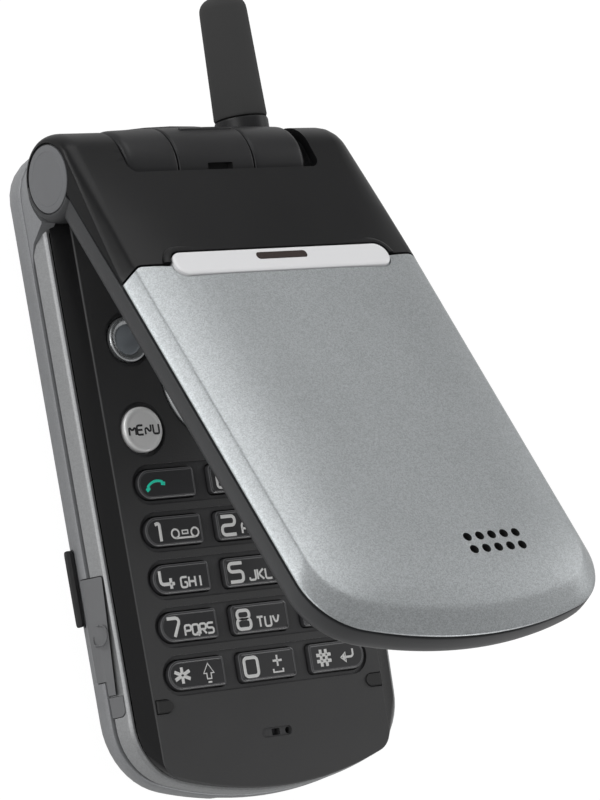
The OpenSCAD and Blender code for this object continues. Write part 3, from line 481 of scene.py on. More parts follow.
@dataclass(frozen=True)
class Finish:
    """Look of one surface. Colours are linear, sizes of grain and flakes are per metre."""

    name: str
    color: Color
    roughness: float = 0.5
    metallic: float = 0.0
    coat: float = 0.0
    coat_roughness: float = 0.1
    specular: float = 0.5
    grain: float = 4200.0
    grain_depth: float = 0.15
    cloud: float = 0.05
    flakes: float = 0.0
    lean: float = 0.15

    def material(self) -> bpy.types.Material:
        """The material of this finish, made once."""
        found = bpy.data.materials.get(self.name)
        if found:
            return found
        material = bpy.data.materials.new(self.name)
        material.use_nodes = True
        tree = material.node_tree
        surface = self.shared(tree, "moulded_surface", moulded_group, {
            "Color": (*self.color, 1), "Roughness": self.roughness, "Grain Size": self.grain,
            "Grain Depth": self.grain_depth, "Cloud": self.cloud})
        painted = surface
        if self.flakes:
            painted = self.shared(tree, "paint_flakes", flake_group, {
                "Color": surface.outputs["Color"], "Sparkle": self.flakes, "Lean": self.lean})
        feed(tree, tree.nodes["Principled BSDF"], {
            "Metallic": self.metallic, "Coat Weight": self.coat, "Coat Roughness": self.coat_roughness,
            "Specular IOR Level": self.specular, "Roughness": surface.outputs["Roughness"],
            "Base Color": painted.outputs["Color"], "Normal": painted.outputs["Normal"]})
        return material

    @staticmethod
    def shared(tree: Tree, name: str, build: Callable[[], Tree], inputs: dict[str | int, object]) -> Node:
        """Puts a shared group into a material, building the group the first time."""
        return add_node(tree, "Group", inputs, node_tree=bpy.data.node_groups.get(name) or build())


def dress(obj: Obj, finish: Finish) -> Obj:
    """Gives a whole piece one finish."""
    obj.data.materials.clear()
    obj.data.materials.append(finish.material())
    return obj


def dress_faces(obj: Obj, finish: Finish, test: Test) -> None:
    """Gives a second finish to the faces whose centre and normal pass a test."""
    obj.data.materials.append(finish.material())
    slot = len(obj.data.materials) - 1
    for face in obj.data.polygons:
        if test(face.center, face.normal):
            face.material_index = slot

LID_BLACK = Finish("lid_black_paint", (0.005, 0.005, 0.0055), 0.35, specular=0.25, grain=5200,
                   grain_depth=0.12, cloud=0.06)
SILVER = Finish("silver_paint", (0.40, 0.42, 0.43), 0.38, metallic=0.75, coat=0.25, coat_roughness=0.3,
                grain_depth=0.0, cloud=0.02, flakes=0.35, lean=0.25)
BAR = Finish("bright_bar", (0.82, 0.81, 0.82), 0.3, metallic=0.35, coat=0.4, cloud=0.01, grain_depth=0.02)
SLOT_DARK = Finish("indicator_dark", (0.02, 0.008, 0.005), 0.25, coat=0.5, cloud=0.02)
SHELL_GREY = Finish("inner_shell_grey", (0.038, 0.039, 0.041), 0.38)
# Painted light: the hinge caps are the same dark plastic, coloured mid grey as they show under the strong light
# from the left.
CAP_PAINTED_LIGHT_GREY = Finish("hinge_cap_painted_light_grey", (0.16, 0.163, 0.17), 0.45, cloud=0.04)
# Painted shade: near-black put on the speaker holes, the groove above the lid shell's rim and the camera barrel's
# thumb notch, where only shade falls.
PAINTED_SHADE_BLACK = Finish("painted_shade_black", (0.004, 0.004, 0.004), 0.8, cloud=0.02)
CASE_BLACK = Finish("hinge_black", (0.014, 0.014, 0.015), 0.38, specular=0.3, grain=5200, cloud=0.06)
PANEL = Finish("keypad_panel_black", (0.046, 0.046, 0.047), grain=3600, grain_depth=0.3, cloud=0.07)
# Glossier black for the sloping strips; its darker colour than the face is painted shade.
STRIP_SHADE = Finish("strip_gloss_painted_shade", (0.01, 0.01, 0.0105), 0.22, grain_depth=0.03, cloud=0.04)
BAND = Finish("silver_band_paint", (0.34, 0.345, 0.35), 0.4, metallic=0.45, cloud=0.03, flakes=0.2, lean=0.1)
REAR = replace(BAND, name="rear_shell_paint", color=(0.30, 0.305, 0.315), metallic=0.35, flakes=0.15)
PACK = replace(REAR, name="battery_cover_paint", color=(0.28, 0.285, 0.295), roughness=0.42, metallic=0.3)
DOOR = Finish("socket_door_rubber", (0.165, 0.167, 0.172), grain_depth=0.12, cloud=0.04)
KEY_DARK = Finish("key_dark_gloss", (0.042, 0.042, 0.044), 0.28, coat=0.3, coat_roughness=0.15,
                  grain_depth=0.05, cloud=0.04)
# Glossy finish whose lighter grey is a painted highlight on the bevelled rims of the keys and of the key recesses.
KEY_RIM_HIGHLIGHT = Finish("key_rim_painted_highlight", (0.14, 0.14, 0.145), 0.25, coat=0.4, grain_depth=0.02, cloud=0.02)
WELL = Finish("key_row_floor", (0.05, 0.05, 0.052), 0.4, grain=3600, grain_depth=0.25, cloud=0.06)
CHROME = Finish("polished_silver", (0.85, 0.87, 0.88), 0.27, metallic=0.9, cloud=0.02, grain_depth=0.0)
DOME = Finish("smoked_dome", (0.34, 0.37, 0.40), 0.2, metallic=0.4, coat=0.8, coat_roughness=0.05, grain_depth=0.0)
PEARL = Finish("pearl_key", (0.95, 0.95, 0.945), 0.3, metallic=0.15, coat=0.3, cloud=0.02, grain_depth=0.03)
RUBBER = Finish("black_rubber", (0.02, 0.02, 0.02), 0.6, grain=3000, grain_depth=0.3, cloud=0.08)
ANTENNA = Finish("antenna_sleeve", (0.035, 0.035, 0.037), 0.42, grain=3200)
PRINT_WHITE = Finish("legend_white", (0.80, 0.80, 0.79), cloud=0.02, grain_depth=0.0)
PRINT_DARK = replace(PRINT_WHITE, name="legend_dark", color=(0.03, 0.03, 0.032))
PRINT_GREEN = replace(PRINT_WHITE, name="legend_green", color=(0.03, 0.9, 0.62), roughness=0.45)
PRINT_RED = replace(PRINT_GREEN, name="legend_red", color=(0.62, 0.03, 0.02))
GLASS = Finish("display_glass_black", (0.006, 0.007, 0.008), 0.06, coat=0.6, coat_roughness=0.03,
               grain_depth=0.0, cloud=0.02)
SCREEN_DARK = Finish("display_field", (0.018, 0.021, 0.024), 0.12, coat=0.6, coat_roughness=0.05, grain_depth=0.0)
STEEL = Finish("screw_steel", (0.45, 0.45, 0.46), 0.3, metallic=1.0)
BRASS = Finish("brass", (0.72, 0.5, 0.2), 0.3, metallic=1.0)
TIN = Finish("tinned_sheet", (0.6, 0.61, 0.62), 0.35, metallic=1.0, cloud=0.06)
BOARD = Finish("circuit_board_green", (0.012, 0.09, 0.035), 0.4, coat=0.3, cloud=0.1)
SILICONE = Finish("clear_silicone", (0.6, 0.61, 0.62), cloud=0.03)
SOUND = Finish("sound_part_grey", (0.12, 0.12, 0.13), cloud=0.06)
CONNECTOR = Finish("connector_black", (0.02, 0.02, 0.021), 0.4)
FLEX = Finish("flex_film", (0.5, 0.2, 0.03), 0.35)
LENS = Finish("camera_lens_glass", (0.01, 0.012, 0.02), 0.05, coat=1.0, coat_roughness=0.02,
              grain_depth=0.0, cloud=0.02)
SCREEN = Finish("display_unit", (0.2, 0.21, 0.22), 0.4, metallic=0.5, cloud=0.04)


# ---- Sizes ------------------------------------------------------------------------------


@dataclass
class Sizes:
    """Driving sizes of the telephone in millimetres, from the hinge axis where not said otherwise."""

    hinge: Vector = field(default_factory=Vector)
    open_angle: float = 30.5
    half_w: float = 24.9
    base_len: float = 83.6
    base_top: float = 8.3
    back: float = 15.8
    taper: float = 1.4
    corner_r: float = 9.0
    top_corner_r: float = 4.5
    base_end_r: float = 52.0
    top_end_r: float = 75.0
    lid_end_r: float = 57.0
    panel: float = -3.86
    strip: float = -5.5
    seam: float = -8.0
    lid_half_w: float = 25.2
    lid_len: float = 82.4
    lid_tip: float = 0.55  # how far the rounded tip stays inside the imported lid
    lid_seam: float = 1.8
    lid_inner: float = -2.6
    cover_end: float = 20.2
    bar_half: float = 17.75
    bar_w: float = 3.9
    knuckle_r: float = 5.95
    barrel_r: float = 6.1
    barrel_swell: float = 0.3
    recess_x0: float = -17.1
    recess_x1: float = 14.5
    recess_low: float = -4.45
    fixed_x1: float = 13.0
    camera_x0: float = -8.4
    camera_x1: float = 4.0
    key_h: float = 4.0
    key_in: float = 7.1  # inner end of a side key
    key_out: float = 16.4
    nav_y: float = -26.9
    window_y: float = -42.0

    @classmethod
    def from_frame(cls, frame: dict) -> "Sizes":
        """Reads the hinge's place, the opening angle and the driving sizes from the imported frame."""
        lid_joint = next(joint for joint in frame["joints"] if joint["name"] == "lid_hinge")
        sizes = cls(hinge=Vector(lid_joint["pos_m"]) / MM, open_angle=-lid_joint["range_deg"][0])
        low, high = sizes.node_box("rear_case")
        sizes.half_w = (high.x - low.x) / 2
        sizes.back = -low.z
        sizes.base_len = -low.y - 0.4
        sizes.base_top = high.y
        return sizes

    def node_box(self, node: str) -> tuple[Vector, Vector]:
        """Lowest and highest corner of a CAD node in hinge coordinates, with the lid left open."""
        low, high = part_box(node)
        return low / MM - self.hinge, high / MM - self.hinge

    @property
    def face_x(self) -> float:
        """Outer faces of the lid's knuckles."""
        return self.lid_half_w + 0.3

    @property
    def strip_half_w(self) -> float:
        """Half the width over the sloping strips."""
        return self.half_w - 1.5

    @property
    def panel_half_w(self) -> float:
        """Half the width of the keypad face."""
        return self.half_w - 4.6

    @property
    def tilt_clear(self) -> float:
        """Radius of the room round the barrels."""
        return self.barrel_r + self.barrel_swell + 0.2

    def place(self, on_lid: bool) -> Matrix:
        """Transform from hinge coordinates to the frame, for the base or for the closed lid."""
        turn = Matrix.Rotation(math.radians(-self.open_angle), 4, "X") if on_lid else Matrix.Identity(4)
        return Matrix.Translation(self.hinge * MM) @ turn @ Matrix.Scale(MM, 4)

    def base_plan(
        self, half_w: float, length: float, top: float, corner: float | None = None, top_corner: float | None = None
    ) -> Path:
        """Plan of the base: rounded lower end, tapering sides and a rounded end behind the hinge.

        Args:
            half_w: Half the width at the hinge.
            length: Reach of the lower end.
            top: Reach of the end behind the hinge.
            corner: Radius of the lower corners, if not the usual one.
            top_corner: Radius of the corners behind the hinge, if not the usual one.

        Returns:
            The closed outline.
        """
        low_w = half_w - self.taper
        x, y, middle, angle = end_arcs(low_w, -length, self.base_end_r, corner or self.corner_r)
        tx, ty, top_middle, top_angle = end_arcs(half_w, -top, self.top_end_r, top_corner or self.top_corner_r)
        return [
            (low_w, y), (half_w, -ty), (tx, -ty, top_angle, 6), (0, -top_middle, 180 - 2 * top_angle, 10),
            (-tx, -ty, top_angle, 6), (-low_w, y), (-x, y, angle, 10), (0, middle, 180 - 2 * angle, 20),
            (x, y, angle, 10),
        ]

    def lid_plan(self, inset: float, end_inset: float, y_top: float = -1.3) -> Path:
        """Plan of the lid, drawn in by an inset at the sides and at the free end, and square at the hinge."""
        half_w = self.lid_half_w - inset
        low_w = half_w - self.taper
        corner = min(self.corner_r, 0.6 * low_w)
        end = -self.lid_len + self.lid_tip + end_inset
        x, y, middle, angle = end_arcs(low_w, end, self.lid_end_r, corner)
        hinge_y = y_top - 0.1 * inset
        return [(half_w, hinge_y), (-half_w, hinge_y), (-low_w, y), (-x, y, angle, 12),
                (0, middle, 180 - 2 * angle, 28), (x, y, angle, 12)]

    def side_key(self, y: float, shrink: float, side: int) -> Path:
        """Outline of a left or right key of a row: square with small corners inwards, half round outwards."""
        half, small = self.key_h / 2 - shrink, max(0.5 - shrink, 0.1)
        inner, centre = self.key_in + shrink, self.key_out - self.key_h / 2
        path: Path = [
            (centre, -half), (centre, 0, 180, 14), (inner + small, half), (inner + small, half - small, 90, 4),
            (inner, -half + small), (inner + small, -half + small, 90, 4),
        ]
        return moved(path if side > 0 else mirrored(path), 0, y)


class Workshop:
    """Settles finished pieces in the frame."""

    def __init__(self, sizes: Sizes) -> None:
        """Remembers the sizes that place the pieces."""
        self.sizes = sizes

    def settle(self, obj: Obj, body: str, slot: str, *replaces: str) -> None:
        """Brings a dressed piece to its place, and hands it to the body that carries it.

        Args:
            obj: The piece, drawn in hinge coordinates, and on the closed lid if the lid carries it.
            body: The body that it moves with.
            slot: The record's material slot; not used.
            replaces: The CAD nodes that it stands for.
        """
        put(obj, self.sizes.place(body == "lid"))
        bpy.ops.object.shade_smooth_by_angle(angle=SMOOTH_ANGLE)
        apply_modifier(obj, "WEIGHTED_NORMAL", keep_sharp=True)
        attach(obj, body)
        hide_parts(*replaces)
        LOG.info("%s rides on %s, %d faces", obj.name, body, len(obj.data.polygons))


@dataclass
class Assembly:
    """Part of the telephone that is built as one."""

    sizes: Sizes
    shop: Workshop

    def makers(self) -> Sequence[Callable[[], None]]:
        """Methods that make the pieces, in order."""
        raise NotImplementedError

    def build(self) -> None:
        """Makes every piece."""
        for make in self.makers():
            make()


# ---- Lid --------------------------------------------------------------------------------


@dataclass
class Lid(Assembly):
    """The lid: black cover, silver plate, bright bar, grey inner shell and what shows inside."""

    swell: float = 19.3  # length over which the cover rises to the knuckles
    wall: float = 1.25
    rim: float = 4.86  # radius at which the knuckle's rounding starts
    gap: float = 0.32  # shadow gap round the end caps
    # Bevel and crown of the outer face: distance in from the side, distance in from the tip, and height
    bevel: tuple[tuple[float, float, float], ...] = (
        (0.0, 0.0, 1.8), (0.0, 0.0, 1.98), (0.07, 0.1, 2.12), (0.55, 1.05, 2.6), (1.05, 2.0, 3.1),
        (1.45, 2.75, 3.48), (1.64, 3.1, 3.63), (1.9, 3.45, 3.75), (2.35, 3.95, 3.87), (3.2, 4.7, 4.04),
        (4.5, 5.7, 4.27), (6.5, 7.2, 4.52), (9.0, 9.0, 4.72), (12.0, 11.0, 4.83), (16.0, 14.0, 4.89),
    )
    crown: float = 4.9
    shell_top: float = 1.45
    bar_top: float = 5.05
    speaker_x: float = 7.07
    speaker_rise: float = 12.77  # how far the speaker holes lie from the tip
    # Right end of the hinge: half width and radius for each step of the bevel
    soft_end: tuple[Point, ...] = (
        (24.7, 1.8), (24.65, 1.98), (24.5, 2.15), (23.9, 2.7), (23.3, 3.25), (22.8, 3.75), (22.4, 4.15),
        (22.0, 4.55), (21.5, 5.0), (20.9, 5.4), (20.0, 5.78), (18.9, 5.93), (16.5, 5.95), (13.0, 5.95), (9.0, 5.95),
    )

    @property
    def edge_r(self) -> float:
        """Radius of the cover's lower edge round the left cap."""
        return self.rim - 0.04

    @property
    def kink(self) -> float:
        """Place along the lid where the cover's lower edge leaves the seam."""
        return -math.sqrt(self.edge_r**2 - self.sizes.lid_seam**2)

    def rounded(self, turn: float) -> Point:
        """Point of the full knuckle's rounding: at its face for a turn of 0, on its back for a right angle."""
        s = self.sizes
        return s.face_x - 2.2 * (1 - math.cos(turn)), self.rim + (s.knuckle_r - self.rim) * math.sin(turn)

    def cover_half(self, y: float, right: bool) -> list[Point]:
        """Half of the cover's section at a place along the lid, from its lower edge to the middle.

        Args:
            y: Place along the lid.
            right: The right half, which ends softly, or else the left one, which ends in a full knuckle.

        Returns:
            Points in (distance from the middle, height).
        """
        s = self.sizes
        ease = min(max((y + self.swell) / self.swell, 0.0), 1.0)
        side = s.lid_half_w - 0.1 - 0.02 * max(-1.3 - y, 0.0)
        points: list[Point] = []
        for step, (inset, _, height) in enumerate(self.bevel):
            if right:
                u, v = self.soft_end[step]
            elif step < 9:
                u, v = self.rounded(math.radians(90 * step / 8))
            else:
                u, v = s.face_x - inset, s.knuckle_r
            points.append((side - inset + (u - side + inset) * ease, height + (v - height) * ease))
        if not right:
            points[0] = (points[0][0], s.lid_seam if y <= self.kink else math.sqrt(self.edge_r**2 - y * y))
        points.append((0.0, self.crown + (s.knuckle_r - self.crown) * ease))
        return points

    def cover(self) -> None:
        """Black cover: a skin through sections along the lid, spun round the hinge axis at its end."""
        s = self.sizes
        pen = Pen("lid_cover_skin", Plane.FRONT)
        places = [-24.5, -self.swell, -16, -12, -10.8, -9.6, -8.4, -7.2, -6, -5.2, self.kink, -3.6, -2.6, -1.5,
                  -0.6, 0]
        chains = []
        for y in places:
            left = mirrored(self.cover_half(y, False)[-2::-1])
            chains.append(pen.chain([*self.cover_half(y, True), *left], -y))
        for near, far in zip(chains, chains[1:]):
            pen.bridge(near, far)
        pen.pick(chains[-1])
        pen.spin(-150, 25, Vector(), (1, 0, 0))
        obj = pen.lift()
        apply_modifier(obj, "SOLIDIFY", thickness=self.wall, offset=-1.0, use_even_offset=True)
        # Raised lip along the upper side of the bar: height, how far it stands out, and corner radius
        lip = loft("cover_lip", [
            (height, rounded_rect(0, -s.cover_end, 2 * s.bar_half + out, s.bar_w + out, corner, 8))
            for height, out, corner in ((4.2, 2.6, 3.2), (4.72, 2.5, 3.15), (4.88, 2.1, 2.95), (4.95, 1.5, 2.7),
                                        (4.96, 0.9, 2.4))])
        combine(obj, Join.ADD, lip)
        combine(obj, Join.CUT, self.beyond_joint(0.2, -60), self.bar_pocket(), *self.recess())
        soften(obj, 0.12)
        self.shop.settle(dress(obj, LID_BLACK), "lid", "lid_black", "lid_cover")

    def beyond_joint(self, gap: float, far_y: float) -> Obj:
        """Tool for what lies on one side of the joint between cover and plate, which falls away near the side.

        Args:
            gap: How far the tool's edge lies from the joint, positive towards the hinge.
            far_y: Where the tool ends.

        Returns:
            The tool.
        """
        falls = ((0, 0), (17.5, 0.0), (20.0, -0.4), (22.1, -0.72), (22.6, -0.68), (23.0, -0.45), (25.2, 0.85),
                 (27, 1.9))
        right = [(x, -self.sizes.cover_end - fall + gap) for x, fall in falls]
        return prism("joint_side", [*mirrored(right[:0:-1]), *right, (27, far_y), (-27, far_y)], -9, 9)

    def bar_pocket(self) -> Obj:
        """Tool for the bar's seat, with a narrow gap round the bar."""
        s = self.sizes
        path = rounded_rect(0, -s.cover_end, 2 * s.bar_half + 0.5, s.bar_w + 0.4, s.bar_w / 2, 8)
        return prism("bar_pocket", path, 4.0, 9)

    def recess(self) -> list[Obj]:
        """Tools for the gap that holds the barrels, with its rounded lower corners."""
        s = self.sizes
        low, r = s.recess_low, 1.5
        path: Path = [
            (s.recess_x1, 40), (s.recess_x0, 40), (s.recess_x0, low + r), (s.recess_x0 + r, low + r, 90, 6),
            (s.recess_x1 - r, low), (s.recess_x1 - r, low + r, 90, 6),
        ]
        return [prism("recess_plan", path, -20, 20), rod("recess_bore", s.recess_x0, s.recess_x1, s.tilt_clear)]

    def plate(self) -> None:
        """Silver plate with its soft bevel and crown, and the holes of the loudspeaker."""
        s = self.sizes
        rings = [(s.lid_seam - 0.01, s.lid_plan(0.7, 0.7)), (s.lid_seam, s.lid_plan(0.18, 0.18)),
                 (s.lid_seam + 0.07, s.lid_plan(0.1, 0.1))]
        rings += [(height, s.lid_plan(0.1 + side, 0.1 + end)) for side, end, height in self.bevel[1:]]
        obj = loft("lid_plate_silver", rings)
        combine(obj, Join.CUT, self.beyond_joint(-0.16, 20), self.bar_pocket())
        speaker_y = -s.lid_len + self.speaker_rise
        holes = [prism("hole", circle(self.speaker_x + 2 * i, speaker_y + j, 0.66, 20), 3.4, 9)
                 for i in range(-2, 3) for j in (-1, 1)]
        combine(obj, Join.CUT, joined(*holes))
        soften(obj)
        # The speaker holes' walls and floors are painted black: painted shade for a depth that the solid plate does
        # not have.
        dress_faces(dress(obj, SILVER), PAINTED_SHADE_BLACK, lambda c, n: (
            abs(c.x - self.speaker_x) < 5 and -71.5 < c.y < -67.5 and (n.z < 0.3 or c.z < 3.5) and c.z > 3.3))
        self.shop.settle(obj, "lid", "silver_plate", "lid_plate")

    def bar(self) -> None:
        """Bright bar across the joint, with the slot of the indicator."""
        s = self.sizes
        top, slot_y = self.bar_top, -s.cover_end + 0.55
        steps = ((4.0, 0.0), (top - 0.35, 0.0), (top - 0.14, 0.08), (top - 0.03, 0.26), (top, 0.5))
        obj = loft("lid_bar_bright", [
            (height, rounded_rect(0, -s.cover_end, 2 * (s.bar_half - inset), s.bar_w - 2 * inset,
                                  s.bar_w / 2 - 0.15 - inset, 10))
            for height, inset in steps])
        combine(obj, Join.CUT, prism("slot", rounded_rect(0, slot_y, 8.3, 1.1, 0.5), top - 0.55, 9))
        soften(obj)
        dress_faces(dress(obj, BAR), SLOT_DARK, lambda c, n: (
            abs(c.x) < 4.2 and abs(c.y - slot_y) < 0.58 and c.z < top - 0.12))
        self.shop.settle(obj, "lid", "bright_bar", "lid_bar")

    def knuckle(self, profile: Path) -> Obj:
        """Knuckle without the part that the black cover takes."""
        r, low, far = self.rim - 0.16, self.shell_top, 30.0
        start = math.atan2(low, -math.sqrt(r**2 - low * low))
        end = math.radians(-60)
        sector = prism("cover_sector", [
            (r * math.cos(start), low), (0, 0, -60 - math.degrees(start), 36),
            (9 * math.cos(end), 9 * math.sin(end)),
            (far, -9), (far, far), (-far, far), (-far, low),
        ], -FAR, FAR, Plane.SIDE)
        return soften(combine(turned("knuckle", profile, 96), Join.CUT, sector))

    def full_profile(self, x_in: float) -> Path:
        """Profile of the full knuckle, drawn to the right, from its inner face out to the seat of the cap."""
        s = self.sizes
        return [(x_in, 0), (x_in, s.knuckle_r - 0.3), (x_in + 0.3, s.knuckle_r),
                *[self.rounded(turn) for turn in angles(-11.25, 9, 90)],
                (s.face_x - 0.06, 4.7), (s.face_x - 0.3, 4.62), (s.face_x - 0.3, 0)]

    def soft_profile(self, x_in: float) -> Path:
        """Profile of the right knuckle, which lies inside the cover's soft end."""
        r = self.sizes.knuckle_r
        return [(x_in, 0), (x_in, r - 0.3), (x_in + 0.3, r - 0.1),
                *[(x - 0.08, v - 0.12) for x, v in self.soft_end[11::-1]], (24.45, 1.6), (24.2, 0)]

    def shell(self) -> None:
        """Dark grey inner shell with the lower parts of both knuckles."""
        s = self.sizes
        top, inner, tip = self.shell_top, s.lid_inner, -s.lid_len
        # Height, distance in from the side and distance in from the tip
        steps = ((inner, 2.2, 2.2), (-2.25, 1.2, 1.2), (-1.7, 0.62, 0.65), (-1.1, 0.3, 0.35), (-0.3, 0.08, 0.15),
                 (0.6, 0.0, 0.1), (top - 0.2, 0.0, 0.1), (top - 0.07, 0.05, 0.15), (top, 0.18, 0.28),
                 (top + 0.02, 0.62, 0.7), (s.lid_seam, 0.62, 0.7))
        obj = loft("lid_shell_grey", [(h, s.lid_plan(side, end, -4)) for h, side, end in steps])
        right = self.knuckle(self.soft_profile(s.recess_x1 + 0.2))
        left = self.knuckle(mirrored(self.full_profile(-s.recess_x0 + 0.2)))
        slots = [prism("ear_slot", rounded_rect(0, tip + 7.4 + 1.3 * i, 8, 0.6, 0.29), -9, -1.2)
                 for i in (-1, 0, 1)]
        seats = [prism("screw_seat", circle(side * x, y, 1.5, 32), -9, inner + 1)
                 for side in (-1, 1) for x, y in ((s.lid_half_w - 4, -15), (s.lid_half_w - 7.7, tip + 8.9))]
        combine(obj, Join.CUT, *self.recess(), prism("glass_seat", self.window_path(0.2, 2), -9, inner + 0.9),
                joined(*slots), joined(*seats))
        joined(soften(obj), right, left)
        # The tongue in the groove above the shell's rim is painted black: painted shade in the gap between shell
        # and plate.
        dress_faces(dress(obj, SHELL_GREY), PAINTED_SHADE_BLACK, lambda c, n: c.z > top + 0.04 and c.y < -4.4)
        self.shop.settle(obj, "lid", "inner_shell", "lid_shell")

    def caps(self) -> None:
        """Flat round cap in the left knuckle, with a fine ring turned into it, and a small one at the right."""

        def disc(x: float, r: float, depth: float) -> Path:
            """Edge of a cap."""
            return [(x - depth, 0), (x - depth, r), (x - 0.15, r), (x - 0.04, r - 0.05), (x, r - 0.18)]

        x, r = self.sizes.face_x, self.rim - self.gap
        profile = [*disc(x, r, 0.8), (x, r - 0.9), (x - 0.03, r - 0.94), (x, r - 0.98), (x, 0)]
        right_x = self.soft_end[0][0] + 0.05
        small = [*disc(right_x, 1.5, 0.9), (right_x, 0)]
        obj = joined(turned("hinge_caps_grey", mirrored(profile), 72), turned("cap", small, 48))
        # The caps' mid grey is painted light on dark plastic.
        self.shop.settle(dress(obj, CAP_PAINTED_LIGHT_GREY), "lid", "hinge_cap", "hinge_caps")

    def window_path(self, grow: float, corner: float) -> Path:
        """Outline of the display window."""
        return rounded_rect(0, self.sizes.window_y, 39.8 + 2 * grow, 55.8 + 2 * grow, corner)

    def window(self) -> None:
        """Black display window with a bevelled edge and the lighter field of the display behind it."""
        field_z = -2.52
        obj = loft("display_window_black", [
            (height, self.window_path(grow, corner))
            for height, grow, corner in ((-1.85, 0, 1.9), (-2.45, 0, 1.9), (-2.56, -0.15, 1.8))])
        combine(obj, Join.CUT, prism("field", rounded_rect(0, -40.5, 34, 44, 0.6), -2.6, field_z))
        dress_faces(dress(obj, GLASS), SCREEN_DARK, lambda c, n: abs(c.z - field_z) < 0.01 and abs(n.z) > 0.9)
        self.shop.settle(obj, "lid", "display_window", "display_glass")

    def pads(self) -> None:
        """Two rubber pads that keep the closed lid off the keypad."""
        s = self.sizes
        profile: Path = [(0, 0), (0, 0.9), (0.06, 1.1), (0.2, 1.24), (0.35, 1.3), (0.83, 1.3), (0.83, 0)]
        obj = joined(*[stand(turned("lid_pads_rubber", profile, 32), (x, -s.lid_len + 5.6, s.lid_inner - 0.35), UP)
                       for x in (-12.5, 12.5)])
        self.shop.settle(dress(obj, RUBBER), "lid", "rubber_stops", "lid_pads")

    def makers(self) -> Sequence[Callable[[], None]]:
        """Methods that make the lid's pieces."""
        return self.cover, self.plate, self.bar, self.shell, self.caps, self.window, self.pads


# ---- Hinge ------------------------------------------------------------------------------


